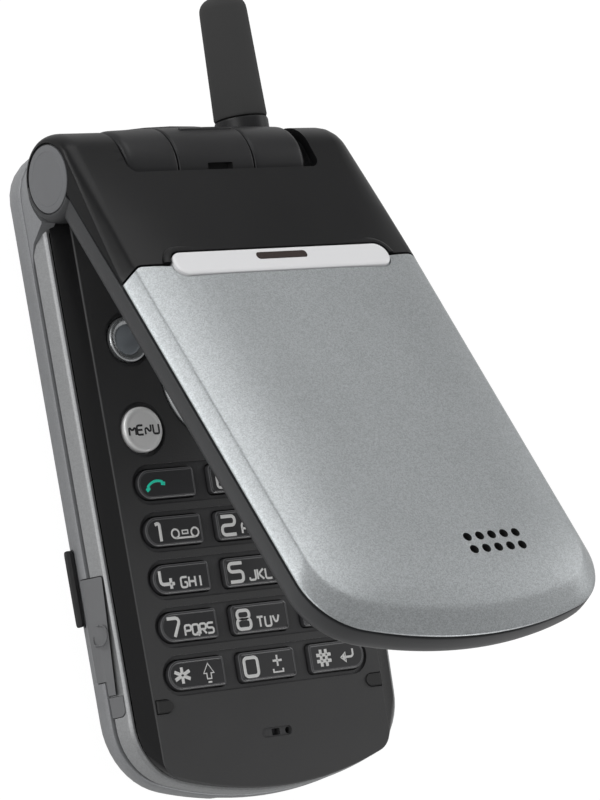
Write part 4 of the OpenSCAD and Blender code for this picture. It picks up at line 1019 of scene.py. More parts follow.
@dataclass
class Hinge(Assembly):
    """The barrels between the knuckles, the housing behind them and the antenna."""

    split: float = 0.15
    floor: float = -9.98  # underside of the housing
    antenna_x: float = 13.0
    antenna_depth: float = 7.1
    antenna_short: float = 1.2

    def barrel(self, name: str, x0: float, x1: float, round0: float, round1: float) -> Obj:
        """One bowed barrel with rounded ends.

        Args:
            name: The object's name.
            x0: Left end.
            x1: Right end.
            round0: Radius of the rounding at the left end.
            round1: Radius of the rounding at the right end.

        Returns:
            The barrel, as a closed body.
        """
        s = self.sizes
        middle, half = (s.recess_x0 + s.recess_x1) / 2, (s.recess_x1 - s.recess_x0) / 2

        def radius(x: float) -> float:
            """Radius of the bowed surface."""
            return s.barrel_r + s.barrel_swell * (1 - ((x - middle) / half) ** 2)

        turns = angles(15, 7)
        left = sorted((x0 + round0 * (1 - math.sin(a)), radius(x0 + round0) - round0 * (1 - math.cos(a)))
                      for a in turns)
        right = sorted((x1 - round1 * (1 - math.sin(a)), radius(x1 - round1) - round1 * (1 - math.cos(a)))
                       for a in turns)
        steps = 10
        bow = [(x, radius(x)) for x in (x0 + round0 + (x1 - x0 - round0 - round1) * i / steps
                                        for i in range(1, steps))]
        return turned(name, [(x0, 0), *left, *bow, *right, (x1, 0)], 96)

    def camera(self) -> None:
        """Turning camera barrel with its thumb ridge, thumb notch and lens opening."""
        s = self.sizes
        obj = self.barrel("camera_barrel_black", s.camera_x0, s.camera_x1, 0.35, 0.35)
        middle = (s.camera_x0 + s.camera_x1) / 2 + 0.4
        low, high = s.node_box("camera_window")
        eye = ((low.x + high.x) / 2, 0, 0)
        top = s.barrel_r + s.barrel_swell + 0.15
        ridge = block("ridge", (middle - 3.5, top - 0.6, -0.33), (middle + 5, top, 0.33), 0.16)
        combine(obj, Join.ADD, tilt(ridge, 30))
        notch = tilt(block("notch", (middle - 2, s.barrel_r - 0.7, -0.62), (middle + 2.1, 12, 0.62), 0.15), 94)
        dish = stand(turned("lens_dish", [(5.3, 0), (5.3, 2.9), (6.6, 3.6), (9, 3.6), (9, 0)], 48), eye, (0, 1, 0))
        seat = stand(turned("bore", [(4.2, 0), (4.2, 2.86), (9, 2.86), (9, 0)], 48), eye, (0, 1, 0))
        combine(obj, Join.CUT, notch, tilt(dish, -12), tilt(seat, -12))
        joined(obj, rod("journal", s.camera_x0 - 2.2, s.camera_x0 + 0.5, 2),
               rod("journal", s.camera_x1 - 0.5, s.camera_x1 + 2.2, 2))
        soften(obj)
        # The inside of the thumb notch is painted black: painted shade in the notch.
        dress_faces(dress(obj, CASE_BLACK), PAINTED_SHADE_BLACK, lambda c, n: (
            abs(c.x - middle) < 2.1 and c.yz.length < s.barrel_r + 0.12 and c.z > 4 and c.y < 2))
        self.shop.settle(obj, "camera", "camera_housing", "camera_barrel")

    def housing(self) -> None:
        """Black piece behind the keypad: top wall, foot of the antenna and the two fixed barrels."""
        s = self.sizes
        rim = s.base_top - 1.4
        width = -s.recess_x0 + 0.9
        wall = prism("hinge_housing_black", [
            (rim, self.floor), (rim, -6.3), (rim - 0.2, -5.6), (rim - 0.9, -5.2), (6, -5.2), (4.4, -4.9),
            (-4.1, -4.9), (-4.2, -5.25), (-5.6, -5.25), (-5.6, self.floor)], -width, width, Plane.SIDE)
        top = loft("top_wall", [
            (height, s.base_plan(s.half_w - side, 1, s.base_top - end, 2, 3))
            for height, side, end in ((self.floor, 3.5, 0), (-6.6, 3.5, 0), (-5.9, 3.65, 0.15), (-5.4, 4.1, 0.6),
                                      (-5.2, 4.8, 1.3))])
        combine(top, Join.CUT, block("front", (-40, -40, -20), (40, 4, 20)),
                *[block("side", (side * width, -40, -20), (side * 60, 40, 20)) for side in (-1, 1)])
        boss = stand(turned("boss", [(0, 0), (0, 3.72), (0.3, 3.8), (2.1, 3.8), (2.4, 3.7), (2.4, 0)], 64),
                     (self.antenna_x, s.base_top - 1.8, -self.antenna_depth), (0, 1, 0))
        combine(boss, Join.CUT, block("underside", (-40, -40, -20), (40, 40, self.floor + 0.08)))
        combine(wall, Join.ADD, top, boss)
        combine(wall, Join.CUT, rod("room", s.recess_x0, s.recess_x1, s.tilt_clear),
                rod("room", -FAR, s.recess_x0 + 0.34, s.knuckle_r + 0.35),
                rod("room", s.recess_x1 - 0.01, FAR, s.knuckle_r + 0.35))
        soften(wall, 0.12)
        left = self.barrel("fixed_barrel", s.recess_x0 + 0.35, s.camera_x0 - self.split, 1.2, 0.35)
        right = self.barrel("fixed_barrel", s.camera_x1 + self.split, s.fixed_x1, 0.35, 1.0)
        # Webs that carry the fixed barrels
        webs = [block("web", (x0, 0, -9.9), (x1, 5.6, -3), 0.2)
                for x0, x1 in ((s.recess_x0 + 0.6, s.camera_x0 - 0.6), (s.camera_x1 + 0.6, s.fixed_x1 - 0.8))]
        self.shop.settle(dress(joined(wall, left, right, *webs), CASE_BLACK), "base", "black_case", "hinge_housing")

    def antenna(self) -> None:
        """Fat stub antenna with a slight taper, a rounded top and a short collar at its foot."""
        low, high = self.sizes.node_box("antenna_stub")
        height = high.y - low.y - self.antenna_short
        foot_r = (high.x - low.x) / 2
        top_r = foot_r - 0.4
        dome = 1.9
        profile: Path = [(0, 0), (0, foot_r - 0.3), (0.12, foot_r - 0.1), (0.4, foot_r)]
        profile += [(height * t - dome * t * 0.6, foot_r + (top_r - foot_r) * t) for t in (0.25, 0.5, 0.75, 0.9)]
        profile += [(height - dome + dome * math.sin(a), top_r - dome + dome * math.cos(a))
                    for a in angles(11.25, 9)]
        foot = ((low.x + high.x) / 2, low.y, (low.z + high.z) / 2)
        obj = stand(turned("antenna_stub_black", [*profile, (height, 0)], 72), foot, (0, 1, 0))
        self.shop.settle(dress(obj, ANTENNA), "base", "antenna_sleeve", "antenna_stub")

    def makers(self) -> Sequence[Callable[[], None]]:
        """Methods that make the hinge's pieces."""
        return self.camera, self.housing, self.antenna


# ---- Base -------------------------------------------------------------------------------


@dataclass
class Base(Assembly):
    """The base: rear shell, silver band, keypad face, battery pack and the parts let into its left side."""

    door_y0: float = -68.2
    door_y1: float = -52.5
    door_top: float = -5.95
    door_bottom: float = -9.6
    door_split: float = -8.02  # lower edge of the door's narrow end, and of its anchor
    anchor_y0: float = -71.2
    side_button: tuple[float, float, float, float] = (-58.5, -48.2, -12.2, -10.2)
    pack_w: float = 39.0
    pack_len: float = 48.0
    pack_y: float = -48.0
    pack_top: float = -10.2
    mic_rise: float = 7.63  # how far the microphone lies from the lower end
    stop_rise: float = 12.85
    # Rear shell, measured up from the flat back: height, how far it lies in at the sides, at the lower end and
    # behind the hinge, and the radius of its corners below and behind the hinge
    back_round: tuple[tuple[float, float, float, float, float, float], ...] = (
        (0, 6.3, 6, 5, 6, 3), (0.16, 5.4, 4.8, 4, 6.6, 3.2), (0.5, 4.3, 3.4, 2.8, 7.5, 3.5),
        (0.95, 3.4, 2.25, 1.9, 8.5, 4), (1.5, 2.7, 1.4, 1.2, 9.5, 4.5), (2.2, 2.05, 0.65, 0.65, 10.2, 6),
        (3, 1.45, 0.1, 0.3, 10.4, 6.5), (3.9, 0.95, -0.22, 0.1, 10.2, 7), (4.8, 0.55, -0.36, 0, 9.8, 7),
        (5.8, 0.2, -0.4, 0, 9.4, 7),
    )
    # The same below the seam, measured from the seam
    seam_round: tuple[tuple[float, float, float, float, float, float], ...] = (
        (-1, 0, -0.4, 0, 9, 7), (-0.45, 0.06, -0.34, 0, 9, 7), (-0.22, 0.2, -0.2, 0, 9, 7),
        (-0.16, 0.42, 0, 0, 9, 7),
    )

    def rear_rings(self) -> list[tuple[float, Path]]:
        """Outlines of the rear shell, from the flat back up to the seam."""
        s = self.sizes
        return [
            (level + rise, s.base_plan(s.half_w - side, s.base_len - end, s.base_top - top, corner, top_corner))
            for level, steps in ((-s.back, self.back_round), (s.seam, self.seam_round))
            for rise, side, end, top, corner, top_corner in steps
        ]

    def ear_path(self) -> Path:
        """Side view of the ears that rise from the seam to the knuckles."""
        s = self.sizes
        foot = s.seam - 0.6
        return [
            (-10.5, foot), (s.base_top - 3, foot), (s.base_top - 3.6, -7.3), (s.base_top - 4.6, -6.5),
            (s.base_top - 5.6, -6.1), (-4.6, -4.4), (-5, -4.4),
            (-7.2, -7.1), (-8.6, s.seam + 0.25), (-10.5, s.seam - 0.16)]

    def door_path(self, grow: float) -> Path:
        """Door seen from the side: its lower end is narrower, above the seam."""
        low = self.door_y0 - grow
        step = self.door_y0 + 1.9 - grow
        high, top, bottom = self.door_y1 + grow, self.door_top + grow, self.door_bottom - grow
        split = self.door_split - grow
        r = 0.35
        return [
            (step + r, bottom), (high - r, bottom), (high - r, bottom + r, 90, 4), (high, top - r),
            (high - r, top - r, 90, 4), (low + r, top), (low + r, top - r, 90, 4), (low, split),
            (step, split), (step, bottom + r), (step + r, bottom + r, 90, 4)]

    def anchor_path(self, grow: float) -> Path:
        """Fixed end of the door's rubber seen from the side, with a rounded inner corner."""
        low, high = self.anchor_y0 - grow, self.door_y0 - 0.3 + grow
        top, bottom, r = self.door_top + grow, self.door_split - grow, 0.9
        return [(high, bottom), (high, top), (low + r, top), (low + r, top - r, 90, 6), (low, bottom)]

    def button_path(self, grow: float) -> Path:
        """Side key seen from the side."""
        y0, y1, z0, z1 = self.side_button
        return rounded_rect((y0 + y1) / 2, (z0 + z1) / 2, y1 - y0 + 2 * grow, z1 - z0 + 2 * grow, 0.7 + grow)

    def seat(self, path: Path) -> Obj:
        """Tool for the seat of a part in the left side."""
        return prism("side_seat", path, -FAR, -self.sizes.half_w + 2.6, Plane.SIDE)

    def pack_tool(self, grow: float, corner: float, steps: int) -> Obj:
        """Outline of the battery pack, through the back."""
        path = rounded_rect(0, self.pack_y, self.pack_w + grow, self.pack_len + grow, corner, steps)
        return prism("pack_outline", path, -self.sizes.back - 1, self.pack_top)

    def rear(self) -> None:
        """Rear shell with its two ears, its bay for the pack and the seats of the side parts."""
        s = self.sizes
        obj = loft("rear_case_grey", self.rear_rings())
        ears = [prism("ear", self.ear_path(), x0, x1, Plane.SIDE)
                for x0, x1 in ((-s.half_w + 0.3, -17.6), (17.6, s.half_w - 0.3))]
        for ear in ears:
            plan = s.base_plan(s.half_w - 0.3, s.base_len, s.base_top - 0.2, 9, 7)
            soften(combine(ear, Join.KEEP, prism("plan", plan, -12, 0)), 0.3, 3, 30)
        combine(obj, Join.ADD, *ears)
        room = s.knuckle_r + 0.5
        inner = s.base_plan(s.half_w - 2.6, s.base_len - 2.6, 1.5, 7)
        screws = [prism("screw_seat", circle(side * x, y, 2.1, 32), -s.back - 1, -s.back + 1.4)
                  for side in (-1, 1) for x, y in ((s.half_w - 7.5, -14), (s.half_w - 9.7, -s.base_len + 7.4))]
        combine(
            obj, Join.CUT,
            prism("inside", inner, -s.back + 1.8, 0),
            rod("knuckle_room", -FAR, s.recess_x0 + 0.3, room),
            rod("knuckle_room", s.recess_x1 - 0.3, FAR, room),
            rod("barrel_room", s.recess_x0 - 0.5, s.recess_x1 + 0.5, s.tilt_clear + 0.2),
            block("housing_room", (-17.6, -7, -10), (17.6, FAR, 5)),
            self.pack_tool(0.3, 3.15, 6),
            block("latch_bay", (-6.15, -22.65, -s.back - 1), (6.15, -16.55, -s.back + 2.2)),
            self.seat(self.door_path(0.14)),
            self.seat(self.anchor_path(0.1)),
            self.seat(self.button_path(0.12)),
            block("connector_room", (-7.6, -s.base_len - 3, -13.1), (7.6, -s.base_len + 4.6, -9.4), 0.4),
            joined(*screws),
        )
        self.shop.settle(dress(soften(obj), REAR), "base", "rear_shell", "rear_case")

    def band(self) -> None:
        """Silver band between the rear shell and the keypad face."""
        s = self.sizes
        length = s.base_len
        obj = loft("side_band_silver", [
            (s.seam + 0.1, s.base_plan(s.half_w - 0.95, length - 0.3, 2)),
            (s.seam + 0.12, s.base_plan(s.half_w - 0.62, length + 0.02, 2)),
            (s.seam + 0.25, s.base_plan(s.half_w - 0.52, length + 0.12, 2)),
            (s.strip - 0.5, s.base_plan(s.strip_half_w + 0.32, length + 0.06, 2)),
            (s.strip - 0.25, s.base_plan(s.strip_half_w + 0.2, length, 2)),
            (s.strip, s.base_plan(s.strip_half_w - 0.12, length - 0.2, 2)),
        ])
        inner = s.base_plan(s.strip_half_w - 0.42, length - 0.55, 2.5, 8.6)
        r = 1.6
        ball = [(-r, 0), *[(-r * math.cos(a), r * math.sin(a)) for a in angles(15, 11, 15)], (r, 0)]
        ears = [(u + (0.12 if u > -6 else -0.12), v) for u, v in self.ear_path()]
        combine(
            obj, Join.CUT,
            prism("inner", inner, -20, 0),
            block("rear_part", (-FAR, -5, -20), (FAR, FAR, 5)),
            prism("ear_room", ears, -FAR, FAR, Plane.SIDE),
            self.seat(self.door_path(0.14)),
            self.seat(self.anchor_path(0.1)),
            stand(turned("scoop", ball, 40), (-s.half_w, self.door_y1, s.seam + 0.7), (1, 0, 0)),
        )
        self.shop.settle(dress(obj, BAND), "base", "silver_band", "side_band")

    def face(self) -> None:
        """Keypad face with its sloping strips, row recesses, key holes and microphone slot."""
        s = self.sizes
        end, strip = s.base_len - 0.2, s.strip + 0.3
        obj = loft("key_fascia_black", [
            (-6.3, s.base_plan(s.strip_half_w - 0.75, end - 0.7, 1, 8)),
            (strip - 0.15, s.base_plan(s.strip_half_w - 0.75, end - 0.5, 1, 8)),
            (strip, s.base_plan(s.strip_half_w - 0.45, end - 0.35, 1, 8)),
            (strip + 0.1, s.base_plan(s.strip_half_w - 0.62, end - 0.3, 1, 8)),
            (s.panel - 0.22, s.base_plan(s.panel_half_w + 0.12, end - 0.15, 1, 3)),
            (s.panel - 0.05, s.base_plan(s.panel_half_w, end - 0.22, 1, 3)),
            (s.panel, s.base_plan(s.panel_half_w - 0.15, end - 0.4, 1, 3)),
        ])
        combine(obj, Join.CUT, rod("hinge_room", -FAR, FAR, max(s.tilt_clear, s.knuckle_r + 0.35) + 0.25))
        keys = Keypad.rows(s)
        mic_y = -s.base_len + self.mic_rise
        rounds = [(x, y) for x in (-14, 14) for y in (-21.4, -33.7)]
        wells = [(0.35, rounded_rect(0, y, 34.1, 5.46, 2.72, 10)) for y in keys]
        wells += [(0.4, circle(x, y, 3.75)) for x, y in rounds]
        wells.append((0.3, rounded_rect(0, mic_y, 5, 1.3, 0.64)))
        holes = []
        for y in keys:
            holes += [rounded_rect(0, y, 9.74, 4.34, 0.77), s.side_key(y, -0.17, -1), s.side_key(y, -0.17, 1)]
        holes += [circle(x, y, 3.27) for x, y in rounds]
        holes += [circle(0, s.nav_y, 9.85, 72), rounded_rect(0, mic_y, 1.3, 0.9, 0.1, 2),
                  circle(2.0, mic_y, 0.45, 16)]
        seats = [prism("stop_seat", self.stop_path(side, 0.14), s.panel - 0.5, 2) for side in (-1, 1)]
        combine(obj, Join.CUT, joined(*[prism("well", path, s.panel - depth, 2) for depth, path in wells]),
                joined(*[prism("hole", path, -9, 0) for path in holes]), joined(*seats))
        dress(soften(obj, 0.13, 2, 40), PANEL)
        # The sloping strips are dressed darker than the face: painted shade, with a glossier finish.
        dress_faces(obj, STRIP_SHADE, lambda c, n: (
            abs(c.x) > s.panel_half_w - s.taper * 1.1 and abs(n.x) > 0.12 and c.z < s.panel - 0.18))
        dress_faces(obj, WELL, lambda c, n: c.z < s.panel - 0.3 and n.z > 0.95 and abs(c.x) < 17.2)
        # The bevelled rims of the recesses and holes get a lighter grey: painted highlight.
        dress_faces(obj, KEY_RIM_HIGHLIGHT, lambda c, n: (
            c.z > s.panel - 0.16 and 0.15 < n.z < 0.95 and abs(c.x) < 17.4 and -74 < c.y < keys[0] + 3.2))
        self.shop.settle(obj, "base", "black_case", "key_fascia")

    def stop_path(self, side: int, grow: float) -> Path:
        """D-shaped outline of a rubber stop, straight along the face's edge."""
        s = self.sizes
        edge = s.panel_half_w - s.taper - 0.15 + grow
        inner = edge - 1.7
        y, r = -s.base_len + self.stop_rise, 0.85 + grow
        return [(side * edge, y + side * r), (side * inner, y + side * r), (side * inner, y, 180, 14),
                (side * edge, y - side * r)]

    def stops(self) -> None:
        """Two rubber stops in the edges of the keypad face."""
        top = self.sizes.panel
        obj = joined(*[
            loft("panel_bumpers_rubber", [(top + rise, self.stop_path(side, grow))
                                          for rise, grow in ((-0.55, 0.0), (0.12, 0.0), (0.25, -0.16))])
            for side in (-1, 1)])
        self.shop.settle(dress(obj, RUBBER), "base", "rubber_stops", "panel_bumpers")

    def skin(self, name: str, path: Path, depth: float, proud: float = 0.0) -> Obj:
        """Part of the left side's own surface, inside an outline seen from the side.

        Args:
            name: The object's name.
            path: The outline.
            depth: How far the part reaches in from the widest place.
            proud: How far it stands out of the side.

        Returns:
            The part, with rounded edges.
        """
        s = self.sizes
        obj = loft(name, [
            (height, s.base_plan(s.half_w - inset + proud, s.base_len + 0.1, 2)) for height, inset in (
                (-13.5, 0.6), (-12.8, 0.6), (-11.9, 0.2), (-11, 0.0), (-9, 0.0), (-8.45, 0.06), (-7.9, 0.45),
                (-6, 1.1), (-5.0, 1.5))])
        combine(obj, Join.KEEP, prism("outline", path, -FAR, -s.half_w + depth, Plane.SIDE))
        return soften(obj, 0.14, 2, 45)

    def door(self) -> None:
        """Rubber door over the headset socket, with a raised headset pictogram."""
        obj = self.skin("headset_door_rubber", self.door_path(0.0), 2.1)
        sign = Legend.strokes("headset_sign", [
            [(-2.0, -0.5), (-2.0, 0.3), (0, 0.3, -180, 12), (2.0, -0.5)],
            [(-2.0, -0.7), (-2.0, -1.8)], [(2.0, -0.7), (2.0, -1.8)], [(2.0, -1.8), (1.1, -2.4), (0.2, -2.4)],
        ], 0.17, 1.0)
        # Laid on the sloping side: its x runs down the side, its y up, and its height outwards
        put(sign, Matrix(((0.013, 0.17, -1, -self.sizes.half_w + 1.47), (-0.66, 0, 0, -60.2), (0, 0.5, 0, -7.35),
                          (0, 0, 0, 1))))
        sign.data.flip_normals()
        self.shop.settle(joined(dress(obj, DOOR), dress(sign, DOOR)), "headset_door", "socket_door", "headset_door")

    def anchor(self) -> None:
        """Fixed end of the door's rubber."""
        obj = self.skin("door_anchor_rubber", self.anchor_path(0.0), 2.6)
        self.shop.settle(dress(obj, DOOR), "base", "socket_door", "door_anchor")

    def strip_key(self) -> None:
        """Black strip key in the left side, a little proud of it."""
        obj = self.skin("side_key_black", self.button_path(0.0), 1.2, 0.35)
        self.shop.settle(dress(obj, CASE_BLACK), "side_key", "black_button", "side_key")

    def pack(self) -> None:
        """Battery pack that fills the back, with grip ribs beside the latch."""
        back = self.sizes.back
        obj = loft("battery_pack_grey", self.rear_rings())
        soften(combine(obj, Join.KEEP, self.pack_tool(0, 3, 8)), 0.25, 3, 45)
        ribs = [block("rib", (-8, -26.8 - 1.2 * i - 0.6, -back - 1), (8, -26.8 - 1.2 * i, -back + 0.3), 0.1)
                for i in range(5)]
        combine(obj, Join.CUT, joined(*ribs))
        self.shop.settle(dress(obj, PACK), "base", "battery_cover", "battery_pack")

    def latch(self) -> None:
        """Sliding battery latch with three finger ribs."""
        back = self.sizes.back
        obj = block("battery_latch_black", (-6, -22.5, -back + 0.35), (6, -18.5, -back + 2.15), 0.25)
        ribs = [block("rib", (-4, -21.6 + 1.1 * i, -back - 1), (4, -21.1 + 1.1 * i, -back + 0.65), 0.05)
                for i in range(3)]
        combine(obj, Join.CUT, joined(*ribs))
        self.shop.settle(dress(obj, CASE_BLACK), "battery_latch", "black_button", "battery_latch")

    def connector(self) -> None:
        """Charging connector in the lower end, with its row of contacts."""
        y = -self.sizes.base_len
        obj = block("system_connector_black", (-7.5, y + 1.0, -13), (7.5, y + 4.5, -9.5), 0.25)
        combine(obj, Join.CUT, block("mouth", (-6.6, y - 5, -12.2), (6.6, y + 3.4, -10.3), 0.3))
        row = joined(*[block("contact", (1.3 * i - 0.25, y + 2.0, -11.45), (1.3 * i + 0.25, y + 3.6, -11.1), 0.06)
                       for i in range(-4, 5)])
        obj = joined(dress(obj, CONNECTOR), dress(row, BRASS))
        self.shop.settle(obj, "base", "connector_plastic", "system_connector")

    def makers(self) -> Sequence[Callable[[], None]]:
        """Methods that make the base's pieces."""
        return (self.rear, self.band, self.face, self.stops, self.door, self.anchor, self.strip_key, self.pack,
                self.latch, self.connector)


# ---- Legends ----------------------------------------------------------------------------

# Strokes of each character in a field 4 wide and 6 high. A list that ends where it starts is closed.
GLYPHS: dict[str, list[list[Point]]] = {
    "0": [[(0, 0), (4, 0), (4, 6), (0, 6), (0, 0)]],
    "1": [[(0.9, 5.5), (2.2, 6), (2.2, 0)]],
    "2": [[(0, 6), (4, 6), (4, 3.1), (0, 3.1), (0, 0), (4, 0)]],
    "3": [[(0, 6), (4, 6), (4, 0), (0, 0)], [(0.8, 3.1), (4, 3.1)]],
    "4": [[(0, 6), (0, 1.6), (4, 1.6)], [(3, 3.4), (3, 0)]],
    "5": [[(4, 6), (0, 6), (0, 3.3), (4, 3.3), (4, 0), (0, 0)]],
    "6": [[(4, 6), (0, 6), (0, 0), (4, 0), (4, 3.3), (0, 3.3)]],
    "7": [[(0, 6), (4, 6), (1.7, 0)]],
    "8": [[(0.2, 3.2), (3.8, 3.2), (3.8, 6), (0.2, 6), (0.2, 3.2)], [(0, 0), (4, 0), (4, 3.2), (0, 3.2), (0, 0)]],
    "9": [[(0, 0), (4, 0), (4, 6), (0, 6), (0, 2.8), (4, 2.8)]],
    "*": [[(2, 5.6), (2, 0.4)], [(-0.2, 4.3), (4.2, 1.7)], [(-0.2, 1.7), (4.2, 4.3)]],
    "#": [[(1.2, 0.2), (1.2, 5.8)], [(2.8, 0.2), (2.8, 5.8)], [(-0.2, 2), (4.2, 2)], [(-0.2, 4), (4.2, 4)]],
    "A": [[(0, 0), (0, 6), (4, 6), (4, 0)], [(0, 2.8), (4, 2.8)]],
    "B": [[(0, 0), (0, 6), (3.7, 6), (3.7, 3.1), (0, 3.1)], [(3.6, 3.1), (4, 3.1), (4, 0), (0, 0)]],
    "C": [[(4, 6), (0, 6), (0, 0), (4, 0)]],
    "D": [[(0, 0), (0, 6), (4, 6), (4, 0), (0, 0)]],
    "E": [[(4, 6), (0, 6), (0, 0), (4, 0)], [(0, 3.1), (3.6, 3.1)]],
    "F": [[(4, 6), (0, 6), (0, 0)], [(0, 3.1), (3.6, 3.1)]],
    "G": [[(4, 6), (0, 6), (0, 0), (4, 0), (4, 3), (2.2, 3)]],
    "H": [[(0, 0), (0, 6)], [(4, 0), (4, 6)], [(0, 3.1), (4, 3.1)]],
    "I": [[(2, 0), (2, 6)]],
    "J": [[(4, 6), (4, 0), (0, 0), (0, 1.6)]],
    "K": [[(0, 0), (0, 6)], [(4, 6), (0.6, 3.1), (4, 0)]],
    "L": [[(0, 6), (0, 0), (4, 0)]],
    "M": [[(0, 0), (0, 6), (2.3, 2.4), (4.6, 6), (4.6, 0)]],
    "N": [[(0, 0), (0, 6), (4, 0), (4, 6)]],
    "O": [[(0, 0), (4, 0), (4, 6), (0, 6), (0, 0)]],
    "P": [[(0, 0), (0, 6), (4, 6), (4, 2.7), (0, 2.7)]],
    "Q": [[(0, 0), (4, 0), (4, 6), (0, 6), (0, 0)], [(2.6, 1.4), (4.3, -0.9)]],
    "R": [[(0, 0), (0, 6), (4, 6), (4, 2.7), (0, 2.7)], [(1.8, 2.7), (4, 0)]],
    "S": [[(4, 6), (0, 6), (0, 3.1), (4, 3.1), (4, 0), (0, 0)]],
    "T": [[(0, 6), (4, 6)], [(2, 6), (2, 0)]],
    "U": [[(0, 6), (0, 0), (4, 0), (4, 6)]],
    "V": [[(0, 6), (2, 0), (4, 6)]],
    "W": [[(0, 6), (1.1, 0), (2.4, 4.6), (3.7, 0), (4.8, 6)]],
    "X": [[(0, 0), (4, 6)], [(0, 6), (4, 0)]],
    "Y": [[(0, 6), (2, 2.9), (4, 6)], [(2, 2.9), (2, 0)]],
    "Z": [[(0, 6), (4, 6), (0, 0), (4, 0)]],
}


@dataclass(frozen=True)
class Lettering:
    """Size of a row of characters: one character, the distance to the next and half the width of a stroke."""

    height: float
    width: float
    pitch: float
    radius: float


@dataclass(frozen=True)
class Sign:
    """Sign beside a digit: its place from the digit, half the width of its strokes, and the strokes."""

    x: float
    y: float
    radius: float
    strokes: tuple[Path, ...]


DIGITS = Lettering(2.5, 2.2, 0.0, 0.235)
LETTERS = Lettering(1.35, 0.98, 1.34, 0.15)
FOUR_LETTERS = replace(LETTERS, pitch=1.22)
CLEAR_SIGN = Lettering(1.9, 1.7, 0.0, 0.19)
MENU_WORD = Lettering(1.25, 0.92, 1.3, 0.14)
OK_WORD = Lettering(1.3, 1.1, 1.6, 0.13)
SIGNS = {
    # Two reels over a window, joined by a bar: recorded messages
    "1": Sign(4.1, -0.45, 0.13, (
        [(-1.0, 0), (-1.6, 0, 360, 14)], [(2.2, 0), (1.6, 0, 360, 14)], [(-1.6, -0.62), (1.6, -0.62)],
        [(-0.45, -0.1), (0.45, -0.1), (0.45, 0.35), (-0.45, 0.35), (-0.45, -0.1)])),
    # Upward arrow over a bar: shift
    "*": Sign(4.3, -0.15, 0.12, (
        [(-0.85, 0), (0, 1.3), (0.85, 0), (0.35, 0), (0.35, -0.75), (-0.35, -0.75), (-0.35, 0), (-0.85, 0)],
        [(-0.3, -1.2), (0.3, -1.2)])),
    # Plus over a space bar
    "0": Sign(4.4, -0.1, 0.15, (
        [(0, 1.25), (0, -0.25)], [(-0.75, 0.5), (0.75, 0.5)],
        [(-0.8, -0.6), (-0.8, -1.05), (0.8, -1.05), (0.8, -0.6)])),
    # Return arrow
    "#": Sign(3.9, 0, 0.15, (
        [(1.1, 0.75), (1.1, 0.1), (0.7, 0.1, -90, 4), (-0.9, -0.3)],
        [(-0.2, 0.35), (-1.0, -0.3), (-0.2, -0.95), (-0.2, 0.35)], [(-0.4, 0.05), (-0.8, -0.3), (-0.4, -0.65)])),
}


